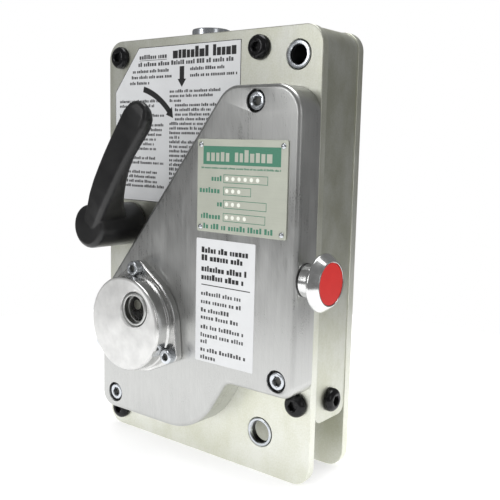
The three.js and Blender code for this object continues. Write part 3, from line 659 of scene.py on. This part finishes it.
# ---- case ---------------------------------------------------------------------------------
def plate_outline():
    return rounded(rectangle(0, PLATE_WIDTH, 0, PLATE_HEIGHT, PLATE_CORNER), 12)


def build_plates():
    zinc_plate = FINISHES["zinc_plate"]
    eyes = [(TOP_EYE, 7.7), (LOW_EYE, 8.55)]
    shafts = [(GOVERNOR, 6.3), (LEVER, 6.3), (TRIP, 4.3)]
    tapped = [(at, 4.3) for at in TIES.values()]
    front = slab("front_plate_skin", plate_outline(), 0, PLATE_THICK, zinc_plate, 0.45,
                 tapped + eyes + shafts)
    stand_for(front, "case", "front_plate")
    riveted = [(at, 4.8) for at in TIES.values()]
    wells = [(at, radius, REAR_INNER, REAR_INNER + 3) for at, radius in shafts]
    rear = slab("rear_plate_skin", plate_outline(), REAR_INNER, REAR_OUTER, zinc_plate, 0.45,
                riveted + eyes, wells)
    stand_for(rear, "case", "rear_plate")


def build_ties():
    for name, at in TIES.items():
        profile = [(4.3, 15), (4.3, 5.3), (5.8, 5.3), (6, 5.5), (6, REAR_INNER - 0.3),
                   (5.8, REAR_INNER - 0.1), (4.5, REAR_INNER - 0.1), (4.5, REAR_OUTER - 0.4),
                   (4.1, REAR_OUTER)]
        tie = turned("tie_" + name, "y", at, profile, FINISHES["plain_steel"], 48)
        stand_for(tie, "case", "tie_bar_" + name)


BAND_THICK, BAND_END_RADIUS = 2.5, 6


def band_stations():
    """(point, way out of the case, how much each edge is cut back) along the folded strip."""
    lowest, highest = span("side_band")
    corner = PLATE_CORNER - 0.6
    right_end = 35
    path = rounded([(lowest.x, lowest.z, 0), (lowest.x, highest.z, corner),
                    (highest.x, highest.z, corner), (highest.x, right_end + BAND_END_RADIUS, 0)], 12, False)
    stations = []
    for i, point in enumerate(path):
        before = Vector(path[max(i - 1, 0)])
        after = Vector(path[min(i + 1, len(path) - 1)])
        along = (after - before).normalized()
        stations.append((Vector(point), Vector((-along.y, along.x)), 0.0))
    for i in range(1, 9):
        angle = math.pi / 2 * i / 8
        drop = BAND_END_RADIUS * math.sin(angle)
        cut = BAND_END_RADIUS * (1 - math.cos(angle))
        place = Vector((highest.x, right_end + BAND_END_RADIUS - drop))
        stations.append((place, Vector((1, 0)), cut))
    return stations


def build_band():
    y0, y1 = span("side_band")[0].y, span("side_band")[1].y
    surface = Surface()
    rings = []
    for point, out, cut in band_stations():
        inner = point - out * BAND_THICK
        rings.append(surface.ring([
            (point.x, y0 + cut, point.y), (point.x, y1 - cut, point.y),
            (inner.x, y1 - cut, inner.y), (inner.x, y0 + cut, inner.y),
        ]))
    surface.chain(rings)
    surface.disc(rings[0])
    surface.disc(rings[-1])
    band = solid_object("side_band_skin", surface, FINISHES["band_steel"], 30)
    inlet_hole = turned("cutter", "z", ROPE, [(11.8, 240), (11.8, 260)], FINISHES["band_steel"])
    bored(band, inlet_hole)
    eased = band.modifiers.new("eased_edges", "BEVEL")
    eased.width = 0.35 * MM
    eased.segments = 2
    eased.angle_limit = math.radians(50)
    band.modifiers.move(1, 0)
    stand_for(band, "case", "side_band")


def domed_screw(name, axis, centre, seat, out, node):
    """Black domed socket screw; out is -1 where its head looks down the axis."""
    dome = [math.pi / 2 * i / 8 for i in range(9)]
    steps = [(3.7, -7.5), (4, -7.2), (4, 0), (6.4, 0), (6.7, 0.25)]
    steps += [(3.6 + 3.1 * math.cos(a), 1.1 + 3.1 * math.sin(a)) for a in dome]
    steps += [(3.15, 4.2), (hexagon(5), 3.85), (hexagon(5), 1.8)]
    profile = [(radius, seat + out * height) for radius, height in steps]
    screw = turned(name, axis, centre, profile, FINISHES["black_steel"], 72)
    stand_for(screw, "case", node)


def build_frame_screws():
    for name, at in TIES.items():
        domed_screw("domed_screw_" + name, "y", at, -0.1, -1, "plate_screw_" + name)
    right = middle("band_screw_right")
    face = span("side_band")[1].x
    domed_screw("domed_screw_right", "x", (right.y, right.z), face + 0.1, 1, "band_screw_right")


def ring_profile(inner, outer, y0, y1, lip):
    """Section of a turned ring whose four corners are eased by lip."""
    part, small = lip * 0.3, lip * 0.6
    return [
        (inner + small, y0), (outer - lip, y0), (outer - part, y0 + part), (outer, y0 + lip),
        (outer, y1 - lip), (outer - part, y1 - part), (outer - lip, y1), (inner + small, y1),
        (inner, y1 - small), (inner, y0 + small),
    ]


def build_eyes():
    for node, at, inner, outer in (("top_eye_bush", TOP_EYE, 5.2, 7.4),
                                   ("low_eye_bush_front", LOW_EYE, 6.55, 8.25),
                                   ("low_eye_bush_rear", LOW_EYE, 6.55, 8.25)):
        y0, y1 = span(node)[0].y, span(node)[1].y
        bush = turned(node + "_skin", "y", at, ring_profile(inner, outer, y0, y1, 0.6),
                      FINISHES["bright_zinc"], 72, True)
        stand_for(bush, "case", node)
        # painted shade: a thin dark sleeve inside each eye's bore, where the bore is in shade
        dark = ring_profile(inner - 0.1, inner + 0.05, y0 + 2, y1 - 0.8, 0.02)
        bore_shade_sleeve = turned(node + "_lining", "y", at, dark, FINISHES["black_plastic"], 48, True)
        extra(bore_shade_sleeve, "case")


def build_rope_guides():
    top = span("rope_inlet")[1].z
    under = PLATE_HEIGHT - 3.2
    chamfer = [(10.6, top), (11.2, top - 0.25), (11.5, top - 0.9)]
    mouth = [(5.2, top - 4.5), (5.5, top - 3), (6.2, top - 1.5), (7.2, top - 0.5), (8.2, top)]
    profile = [(5.2, 234), (14, 234), (14, under), (11.5, under)] + chamfer[::-1] + mouth[::-1]
    inlet = turned("rope_inlet_skin", "z", ROPE, profile, FINISHES["bright_zinc"], 96, True)
    stand_for(inlet, "case", "rope_inlet")

    lowest, highest = span("rope_outlet")
    surface = Surface()
    sides = rounded([(lowest.x, lowest.y, 1.5), (highest.x, lowest.y, 1.5),
                     (highest.x, highest.y, 1.5), (lowest.x, highest.y, 1.5)], 4)
    outer = [surface.ring([(x, y, z) for x, y in inset(sides, side)])
             for side, z in ((0.4, lowest.z), (0, lowest.z + 0.4), (0, highest.z - 0.4), (0.4, highest.z))]
    bore = [surface.ring([(x, y, z) for x, y in circle(ROPE, radius)])
            for radius, z in ((7.4, lowest.z), (6.2, lowest.z + 1.6), (5.4, lowest.z + 3.4),
                              (5.2, lowest.z + 5), (5.2, highest.z))]
    surface.chain(outer)
    surface.chain(bore)
    surface.cap(outer[0], bore[0])
    surface.cap(outer[-1], bore[-1])
    outlet = solid_object("rope_outlet_skin", surface, FINISHES["plain_steel"])
    stand_for(outlet, "case", "rope_outlet")


# ---- front cover --------------------------------------------------------------------------
def cover_bores():
    """(centre, [(radius, y), ...]) from the cover's face to its inner ceiling."""
    ceiling = COVER_FRONT + COVER_WALL
    floor = COVER_FRONT + SCREW_BORE_DEPTH
    counterbore = [(SCREW_BORE + 0.35, COVER_FRONT), (SCREW_BORE, COVER_FRONT + 0.35), (SCREW_BORE, floor),
                   (3.3, floor), (3.3, COVER_BACK), (7.6, COVER_BACK), (7.6, ceiling)]
    plain = [(at, [(2.8, COVER_FRONT), (2.8, ceiling)]) for at in FLANGE_SCREWS]
    bosses = [(at, counterbore) for at in COVER_SCREWS.values()]
    return plain + bosses + [(GOVERNOR, [(26, COVER_FRONT), (26, ceiling)])]


def build_cover():
    outline = rounded(COVER_OUTLINE, 14)
    surface = Surface()
    outer = [surface.ring(level(inset(outline, side), COVER_FRONT + back))
             for side, back in fillet_steps(COVER_FILLET, 7)]
    outer.append(surface.ring(level(outline, COVER_BACK)))
    surface.chain(outer)
    hollow = rounded(inset_corners(COVER_OUTLINE, COVER_WALL), 8)
    wall = [surface.ring(level(hollow, y)) for y in (COVER_BACK, COVER_FRONT + COVER_WALL)]
    surface.chain(wall)
    surface.cap(outer[-1], wall[0])
    face, ceiling = [outer[0]], [wall[-1]]
    for centre, steps in cover_bores():
        rings = surface.round_hole(centre, steps, 72)
        face.append(rings[0])
        ceiling.append(rings[-1])
    surface.cap(*face)
    surface.cap(*ceiling)
    cover = solid_object("front_cover_skin", surface, FINISHES["aluminium"])
    guide_hole = turned("cutter", "x", BUTTON, [(5.7, 150), (5.7, 175)], FINISHES["aluminium"], 48)
    bored(cover, guide_hole)
    stand_for(cover, "case", "front_cover")


def cap_screw(name, at, seat, head, height, shank, reach, across, node):
    """Socket cap screw along Y with a knurled head, and a dark disc of painted shade on the floor of its socket.
    """
    steps = [(shank - 0.3, -reach), (shank, 0.3 - reach), (shank, 0), (head - 0.3, 0),
             (knurl(head, 32, 0.12), 0.3), (knurl(head, 32, 0.12), height - 0.8),
             (head - 0.15, height - 0.45), (head - 0.4, height - 0.12), (head - 0.75, height),
             (across * 0.62, height), (hexagon(across), height - 0.35), (hexagon(across), height * 0.45)]
    profile = [(radius, seat - up) for radius, up in steps]
    screw = turned(name, "y", at, profile, FINISHES["bright_zinc"], 192)
    stand_for(screw, "case", node)
    floor = seat - height * 0.45
    # painted shade: a dark disc on the floor of the hex socket, where the socket is in shade
    socket_shade = turned(name + "_socket_shade", "y", at, [(across * 0.49, floor + 0.1), (across * 0.49, floor - 0.6)],
                  FINISHES["dark_disc"], 32)
    extra(socket_shade, "case")


def build_cover_screws():
    seat = COVER_FRONT + SCREW_BORE_DEPTH - 0.1
    for name, at in COVER_SCREWS.items():
        cap_screw("cap_screw_" + name, at, seat, 5, 5.6, 3, 15, 5, "cover_screw_" + name)
        gap = ring_profile(5.35, 5.95, seat - 2.5, seat, 0.1)
        shade = turned("bore_shade_" + name, "y", at, gap, FINISHES["dark_disc"], 72, True)
        extra(shade, "case")


# ---- governor -----------------------------------------------------------------------------
FLANGE_RADIUS, FLANGE_THICK = 30.8, 5
EAR_RADIUS, EAR_PITCH = 4.4, 32.3
DRUM_RADIUS, DRUM_BORE, DRUM_CEILING = 28.2, 25.2, -30.4


def eared_outline():
    """The governor flange: a disc with an ear round each of its screws."""
    spread = math.degrees(math.acos((FLANGE_RADIUS - EAR_RADIUS) / EAR_PITCH))
    points = []
    for at in FLANGE_SCREWS:
        towards = math.degrees(math.atan2(at[1] - GOVERNOR[1], at[0] - GOVERNOR[0]))
        for k in range(13):
            points.append(polar(at, EAR_RADIUS, towards - spread + 2 * spread * k / 12))
        for k in range(1, 20):
            sweep = (120 - 2 * spread) * k / 20
            points.append(polar(GOVERNOR, FLANGE_RADIUS, towards + spread + sweep))
    return points


def build_governor_cover():
    bright = FINISHES["turned_aluminium"]
    back = COVER_FRONT - 0.1
    front = back - FLANGE_THICK
    lowest = span("governor_cover")[0].y
    holes = [(at, 2.8) for at in FLANGE_SCREWS] + [(GOVERNOR, DRUM_BORE)]
    flange = slab("governor_flange", eared_outline(), front, back, bright, 0.7, holes)
    extra(flange, "case")

    foot = DRUM_RADIUS + 1.1
    edge = rounded([(3, lowest, 0), (DRUM_RADIUS, lowest + 2.3, 2.6), (DRUM_RADIUS, front - 3.4, 0.5),
                    (foot, front - 3.0, 0.5), (foot, front + 1, 0)], 6, False)
    profile = [(1.0, lowest)] + edge
    drum = turned("governor_drum", "y", GOVERNOR, profile, bright, 144)
    scallop = [(4.7, -60), (4.7, front)]
    cutters = [turned("cutter", "y", at, scallop, bright, 48) for at in FLANGE_SCREWS]
    hollow = [(DRUM_BORE, DRUM_CEILING), (DRUM_BORE, 0)]
    cutters.append(turned("cutter", "y", GOVERNOR, hollow, bright, 96))
    pocket = [(10.9, -37.2), (10.4, -35.4), (10.3, -32.4), (7.6, -32.4), (7.6, -20)]
    cutters.append(turned("cutter", "y", SIGHT, pocket, bright, 96))
    bored(drum, *cutters)
    stand_for(drum, "case", "governor_cover")

    for i, at in enumerate(FLANGE_SCREWS, 1):
        cap_screw(f"flange_screw_{i}", at, front - 0.1, 4.3, 5, 2.5, 11, 4, f"governor_screw_{i}")


def build_sight():
    y0, y1 = span("sight_bezel")[0].y, span("sight_bezel")[1].y
    ring = rounded([(8, y1, 0), (8, y0, 0.5), (9.7, y0, 0.7), (9.7, y1, 0)], 4, False)
    bezel = turned("sight_bezel_skin", "y", SIGHT, ring, FINISHES["aluminium"], 96, True)
    stand_for(bezel, "case", "sight_bezel")
    front, back = span("sight_glass")[0].y, span("sight_glass")[1].y
    lens = [(2, front), (5, front + 0.1), (7.2, front + 0.3), (7.7, front + 0.6), (7.7, back)]
    glass = turned("sight_glass_skin", "y", SIGHT, lens, FINISHES["sight_glass"], 72)
    stand_for(glass, "case", "sight_glass")
    # painted shade: a thin dark tube behind the rim of the sight glass, where the inside of the window is in shade
    window_shade = turned("sight_window_shade", "y", SIGHT, ring_profile(7.3, 7.55, back + 0.1, back + 2.1, 0.05),
                    FINISHES["dark_disc"], 64, True)
    extra(window_shade, "case")

    face, rear = span("indicator_disc")[0].y, span("indicator_disc")[1].y
    disc = turned("indicator_skin", "y", GOVERNOR, ring_profile(6.3, 22, face, rear, 0.4),
                  FINISHES["dark_disc"], 96, True)
    stand_for(disc, "governor", "indicator_disc")
    paint = [(3, face + 0.2), (3, face - 0.05), (2.9, face - 0.1)]
    dot = turned("indicator_dot", "y", INDICATOR_DOT, paint, PAINT_PALE, 48)
    extra(dot, "governor")


# ---- reset lever --------------------------------------------------------------------------
LEVER_LEAN = 37
HUB_FRONT = -37
# along the arm, half width, front and back, as distances from the hub's axis and the plate
ARM_STATIONS = [
    (2, 7.0, 37.1, 12.5), (9, 7.4, 38.3, 13.5), (14.5, 7.9, 39.6, 17.2), (20, 8.5, 40.9, 22.3),
    (30, 9.1, 42.5, 27.6), (40, 9.4, 43.6, 31.9), (50, 9.7, 44.4, 35.3), (60, 9.9, 44.9, 37.0),
    (70, 10.1, 45.0, 36.6), (79, 10.2, 45.0, 35.9), (84.5, 8.9, 44.7, 36.6), (88, 5.9, 43.9, 38.0),
    (89.7, 2.0, 42.7, 40.0),
]


def arm_section(width, front, back, corner):
    """Rounded section seen along the arm: across, depth."""
    corner = min(corner, width * 0.9, (front - back) * 0.45)
    return rounded([(-width, -front, corner), (width, -front, corner),
                    (width * 0.86, -back, corner), (-width * 0.86, -back, corner)], 5)


def build_lever():
    lean = math.radians(LEVER_LEAN)
    surface = Surface()
    rings = []
    for along, width, front, back in ARM_STATIONS:
        foot = Vector(LEVER) + along * Vector((math.sin(lean), math.cos(lean)))
        ring = []
        for across, y in arm_section(width, front, back, 3.2):
            at = foot + across * Vector((math.cos(lean), -math.sin(lean)))
            ring.append((at.x, y, at.y))
        rings.append(surface.ring(ring))
    surface.chain(rings)
    surface.disc(rings[0])
    surface.disc(rings[-1])
    arm = solid_object("arm", surface, FINISHES["black_plastic"])
    hub_edge = rounded([
        (1, HUB_FRONT, 0), (13.2, HUB_FRONT, 3.2), (13.35, -0.6, 0.6), (6.3, -0.6, 0),
    ], 8, False)
    bore = [(6.3, -28), (1, -28)]
    hub = turned("hub", "y", LEVER, hub_edge + bore, FINISHES["black_plastic"], 96)
    union = arm.modifiers.new("union", "BOOLEAN")
    union.operation = "UNION"
    union.object = hub
    arm.modifiers.remove(arm.modifiers["weighted_normals"])
    bpy.context.view_layer.update()
    frozen(arm)
    bpy.data.objects.remove(hub)
    skin = arm.modifiers.new("even_skin", "REMESH")
    skin.mode = "VOXEL"
    skin.voxel_size = 0.5 * MM
    smooth = arm.modifiers.new("blend", "SMOOTH")
    smooth.iterations = 4
    smooth.factor = 0.5
    bpy.context.view_layer.update()
    frozen(arm)
    arm.data.shade_smooth()
    arm.name = "reset_lever_skin"
    stand_for(arm, "lever", "reset_lever")


# ---- emergency button ---------------------------------------------------------------------
HEAD_RADIUS, HEAD_BORE, DISC_RADIUS = 15.3, 11.2, 11
NECK_RADIUS, COLLAR_RADIUS, STEM_HOLE = 7.6, 8.8, 4


def build_button():
    face = span("button_head")[1].x
    neck_end = span("button_head")[0].x
    collar_end = span("button_guide")[1].x
    foot = PLATE_WIDTH + 0.1
    polished = FINISHES["polished_steel"]
    rim = rounded([
        (HEAD_BORE, face - 1.4, 0), (HEAD_BORE, face, 0.2), (11.9, face, 0.5),
        (HEAD_RADIUS, face - 4.4, 0.8), (HEAD_RADIUS, face - 5.6, 0.6),
        (NECK_RADIUS, collar_end + 3.5, 0.6), (NECK_RADIUS, neck_end, 0.3), (STEM_HOLE, neck_end, 0),
    ], 6, False)
    section = rim + [(STEM_HOLE, face - 1.4)]
    head = turned("button_head_skin", "x", BUTTON, section, polished, 128, True)
    stand_for(head, "button_knob", "button_head")
    disc = rounded([
        (0.5, face - 1.2, 0), (DISC_RADIUS, face - 1.2, 0.2),
        (DISC_RADIUS, face - 0.2, 0.3), (0.5, face - 0.2, 0),
    ], 4, False)
    red = turned("button_disc_skin", "x", BUTTON, disc, FINISHES["red_disc"], 96)
    stand_for(red, "button_knob", "button_disc")
    sleeve = rounded([
        (3.9, 147, 0), (5.4, 147, 0.3), (5.4, foot, 0), (7.8, foot, 0), (7.8, foot + 0.6, 0),
        (COLLAR_RADIUS, foot + 0.6, 0.3), (COLLAR_RADIUS, collar_end, 0.5), (7.9, collar_end, 0.2),
        (7.9, neck_end - 3.5, 0), (3.9, neck_end - 3.5, 0),
    ], 4, False)
    collar = turned("button_collar", "x", BUTTON, sleeve, polished, 96, True)
    stand_for(collar, "case", "button_guide")
    seal_profile = [(7.85, foot), (8.9, foot), (9.0, foot + 0.3), (8.9, foot + 0.55), (7.85, foot + 0.55)]
    seal = turned("button_seal", "x", BUTTON, seal_profile, FINISHES["black_plastic"], 96, True)
    extra(seal, "case")


# ---- printed matter -----------------------------------------------------------------------
def printed(name, shapes, y, material, body, proud=0.05):
    """Flat outlines of (x, z) points printed on a face at y that looks to the front."""
    surface = Surface()
    for outline in shapes:
        rings = [surface.ring(level(outline, depth)) for depth in (y - proud, y + 0.04)]
        surface.chain(rings)
        surface.cap(rings[0])
        surface.cap(rings[1])
    extra(solid_object(name, surface, material), body)


def bar(x0, x1, z0, z1):
    return [(x0, z0), (x1, z0), (x1, z1), (x0, z1)]


def frame_bars(x0, x1, z0, z1, line):
    """Four bars round a box."""
    return [bar(x0, x1, z0, z0 + line), bar(x0, x1, z1 - line, z1),
            bar(x0, x0 + line, z0 + line, z1 - line), bar(x1 - line, x1, z0 + line, z1 - line)]


def word_blocks(x0, x1, z, height, source, width=0.5, gap=0.2):
    """Rows of small blocks that stand for words, with no letters in them."""
    blocks = []
    x = x0
    left_in_word = source.randint(2, 8)
    while x < x1 - height * 0.4:
        wide = height * width * source.uniform(0.75, 1.3)
        tall = height * source.choice((0.72, 0.72, 0.78, 1.0))
        blocks.append(bar(x, min(x + wide, x1), z, z + tall))
        left_in_word -= 1
        x += wide + height * gap
        if left_in_word == 0:
            x += height * 0.45
            left_in_word = source.randint(2, 8)
    return blocks


def drive_screw(name, at, y):
    steps = [(0.8, -1.5), (0.8, 0), (1.45, 0), (1.5, 0.15), (1.35, 0.5), (1.0, 0.8), (0.5, 0.95)]
    profile = [(radius, y - up) for radius, up in steps]
    screw = turned(name, "y", at, profile, FINISHES["bright_zinc"], 32)
    slot_cutter = slab("cutter", rounded(rectangle(at[0] - 2, at[0] + 2, at[1] - 0.2, at[1] + 0.2)),
                       y - 2, y - 0.55, FINISHES["bright_zinc"], 0.02)
    bored(screw, slot_cutter)
    extra(screw, "case")


def build_nameplate():
    lowest, highest = span("nameplate")
    wide, tall = highest.x - lowest.x, highest.z - lowest.z
    outline = rounded(rectangle(lowest.x, highest.x, lowest.z, highest.z, 1.2), 6)
    plate = slab("nameplate_skin", outline, lowest.y, highest.y, FINISHES["nameplate"], 0.2)
    stand_for(plate, "case", "nameplate")

    def at(across, down):
        return lowest.x + wide * across, highest.z - tall * down

    def box(left, right, top, bottom):
        (x0, z1), (x1, z0) = at(left, top), at(right, bottom)
        return x0, x1, z0, z1

    source = random.Random(4)
    green = [bar(*box(0.07, 0.93, 0.075, 0.27))]
    green += word_blocks(*at(0.05, 0.315)[:1], at(0.94, 0)[0], at(0, 0.315)[1], 1.0, source)
    rows = [(0.37, 0.46, 0.80, 0.17, 6), (0.50, 0.59, 0.62, 0.03, 3), (0.64, 0.73, 0.79, 0.24, 3),
            (0.78, 0.87, 0.78, 0.05, 4)]
    stamped = []
    for top, bottom, right, left, count in rows:
        green += frame_bars(*box(0.31, right, top, bottom), 0.3)
        x0, z0 = at(left, bottom - 0.015)
        green += word_blocks(x0, at(0.295, 0)[0], z0, 3.0, source, 0.42, 0.22)
        for i in range(count):
            x, z = at(0.35 + 0.068 * i, (top + bottom) / 2)
            stamped.append(circle((x, z), 1.15, 10))
    green += word_blocks(at(0.08, 0)[0], at(0.87, 0)[0], at(0, 0.965)[1], 3.0, source, 0.42, 0.22)
    pale = word_blocks(at(0.11, 0)[0], at(0.9, 0)[0], at(0, 0.235)[1], 6.4, source, 0.42, 0.16)
    printed("nameplate_print", green, lowest.y, INK_GREEN, "case")
    printed("nameplate_stamping", stamped, lowest.y, STAMPED, "case", 0.09)
    printed("nameplate_header_bars", pale, lowest.y, FINISHES["nameplate"], "case", 0.09)
    for i, (across, down) in enumerate(((0.045, 0.06), (0.955, 0.06), (0.045, 0.95), (0.955, 0.95)), 1):
        drive_screw(f"drive_screw_{i}", at(across, down), lowest.y)


def build_sticker():
    """The white sticker below the nameplate: bold heading rows, a rule and rows of small print."""
    x0, x1, z0, z1 = STICKER
    film = slab("sticker_film", rounded(rectangle(x0, x1, z0, z1, 0.8), 4), COVER_FRONT - 0.12,
                COVER_FRONT + 0.05, STICKER_WHITE, 0.03)
    extra(film, "case")
    source = random.Random(11)
    left = x0 + 4
    bold, small = [], []
    for down, end in ((8.0, 38), (12.4, 34.5), (18.6, 38), (23.3, 36)):
        bold += word_blocks(left, x0 + end, z1 - down, 3.3, source, 0.5, 0.16)
    bold.append(bar(left, x1 - 3, z1 - 26.4, z1 - 25.9))
    for down, end in ((32.3, 33), (37.0, 34), (41.9, 25), (46.0, 31), (51.6, 36), (56.3, 35), (60.0, 10),
                      (64.8, 37), (69.2, 15)):
        small += word_blocks(left, x0 + end, z1 - down, 2.4, source, 0.48, 0.3)
    printed("sticker_bold", bold, COVER_FRONT - 0.12, INK_BLACK, "case")
    printed("sticker_small", small, COVER_FRONT - 0.12, INK_GREY, "case")


def arc_band(centre, radius, start, end, half):
    """A curved bar, as one outline."""
    steps = 14
    sweep = [start + (end - start) * i / steps for i in range(steps + 1)]
    outer = [polar(centre, radius + half, angle) for angle in sweep]
    return outer + [polar(centre, radius - half, angle) for angle in reversed(sweep)]


def build_plate_label():
    """The large instruction label on the front plate: rows of print and two arrows."""
    edge = slab("label_border", PLATE_LABEL, -0.1, 0.05, INK_BLACK, 0.02)
    extra(edge, "case")
    film = slab("label_film", inset(PLATE_LABEL, 0.35), -0.14, 0.0, LABEL_WHITE, 0.02)
    extra(film, "case")
    source = random.Random(23)
    big = word_blocks(56, 105, 237.2, 6.2, source, 0.5, 0.1)
    small = word_blocks(27.5, 51, 237.9, 2.6, source)
    small.append(bar(27.5, 51, 237.0, 237.3))
    small += word_blocks(26.5, 104, 233.6, 2.6, source)
    for row, (start, end) in enumerate(((21.5, 53), (20.5, 56), (19, 37))):
        small += word_blocks(start, end, 229.8 - 3.5 * row, 2.0, source)
    for row, end in enumerate((97, 105.5)):
        small += word_blocks(70, end, 229.8 - 3.7 * row, 2.0, source)
    for row in range(23):
        indent = 4.5 if row in (3, 4, 5, 6) else 0
        end = source.uniform(60, 70) if row in (2, 10, 15) else source.uniform(86, 95)
        small += word_blocks(53.5 + indent, end, 217.3 - 2.72 * row, 1.8, source)
    for row in range(19):
        if row not in (2, 4, 11, 14):
            small += word_blocks(9.7, source.uniform(40, 50.5), 211.9 - 2.9 * row, 1.8, source)
    sweep = (19.4, 176)
    arrows = [
        bar(61.6, 65.2, 225.0, 232.5),
        [(63.4, 220.5), (66.8, 225.2), (60.0, 225.2)],
        arc_band(sweep, 45.5, 75, 42, 1.75),
        [polar(sweep, 45.5, 35.5), polar(sweep, 48.9, 42.5), polar(sweep, 42.1, 42.5)],
    ]
    printed("label_big_print", big, -0.14, INK_BLACK, "case")
    printed("label_small_print", small, -0.14, INK_GREY, "case", 0.04)
    printed("label_arrows", arrows, -0.14, INK_BLACK, "case")


# ---- stage --------------------------------------------------------------------------------
FLOOR_RADIUS = 0.42


def build_floor():
    """A white disc under the object."""
    mesh = bpy.data.meshes.new("floor")
    rim = [(x, y, -0.2 * MM) for x, y in circle((0, 0), FLOOR_RADIUS)]
    mesh.from_pydata(rim, [], [tuple(range(len(rim)))])
    floor = bpy.data.objects.new("floor", mesh)
    bpy.context.scene.collection.objects.link(floor)
    white = Finish("floor_white", (0.6, 0.6, 0.6), 0.0, 0.9)
    white.shader.inputs["Emission Color"].default_value = (1, 1, 1, 1)
    white.shader.inputs["Emission Strength"].default_value = 0.55
    mesh.materials.append(white.material)


def softbox(name, place, target, size, power):
    data = bpy.data.lights.new(name, "AREA")
    data.shape = "RECTANGLE"
    data.size, data.size_y = size
    data.energy = power
    lamp = bpy.data.objects.new(name, data)
    lamp.location = place
    lamp.rotation_euler = (Vector(target) - Vector(place)).to_track_quat("-Z", "Y").to_euler()
    bpy.context.scene.collection.objects.link(lamp)


def build_lights():
    """Soft boxes in a white room whose far walls are grey in reflections."""
    target = (0, 0, 0.13)
    softbox("key", (-0.60, -1.42, 0.58), target, (0.35, 0.7), 3.2)
    softbox("fill", (1.3, -0.5, 0.55), target, (0.4, 0.8), 1.2)
    softbox("top", (0.1, 0.25, 1.5), target, (1.0, 0.8), 12)


def build_world():
    world = bpy.data.worlds.new("studio")
    bpy.context.scene.world = world
    world.use_nodes = True
    tree = world.node_tree
    room = tree.nodes["Background"]
    room.inputs["Color"].default_value = (1, 1, 1, 1)
    walls = tree.nodes.new("ShaderNodeBackground")
    walls.inputs["Color"].default_value = (0.20, 0.20, 0.20, 1)
    path = tree.nodes.new("ShaderNodeLightPath")
    pick = tree.nodes.new("ShaderNodeMixShader")
    tree.links.new(path.outputs["Is Glossy Ray"], pick.inputs["Fac"])
    tree.links.new(room.outputs["Background"], pick.inputs[1])
    tree.links.new(walls.outputs["Background"], pick.inputs[2])
    tree.links.new(pick.outputs["Shader"], tree.nodes["World Output"].inputs["Surface"])
    bpy.context.scene.view_settings.view_transform = "Standard"


CAMERA_PLACE = (372.42, -326.28, 186.94)
CAMERA_TURN, CAMERA_DIP, CAMERA_ROLL = 38.03, 7.993, 1.305
LENS, SENSOR = 53.41, 36


def build_camera():
    """At the right of the front, a little above the middle, looking slightly down."""
    data = bpy.data.cameras.new("camera")
    data.lens = LENS
    data.sensor_width = SENSOR
    camera = bpy.data.objects.new("camera", data)
    place = CORNER + Vector(CAMERA_PLACE) * MM
    turn = Matrix.Rotation(math.radians(CAMERA_TURN), 4, "Z")
    tilt = Matrix.Rotation(math.radians(90 - CAMERA_DIP), 4, "X")
    roll = Matrix.Rotation(math.radians(CAMERA_ROLL), 4, "Z")
    camera.matrix_world = Matrix.Translation(place) @ turn @ tilt @ roll
    bpy.context.scene.collection.objects.link(camera)
    bpy.context.scene.camera = camera


dress_cad()
build_plates()
build_ties()
build_band()
build_frame_screws()
build_eyes()
build_rope_guides()
build_cover()
build_cover_screws()
build_governor_cover()
build_sight()
build_lever()
build_button()
build_nameplate()
build_sticker()
build_plate_label()
build_floor()
build_lights()
build_world()
build_camera()
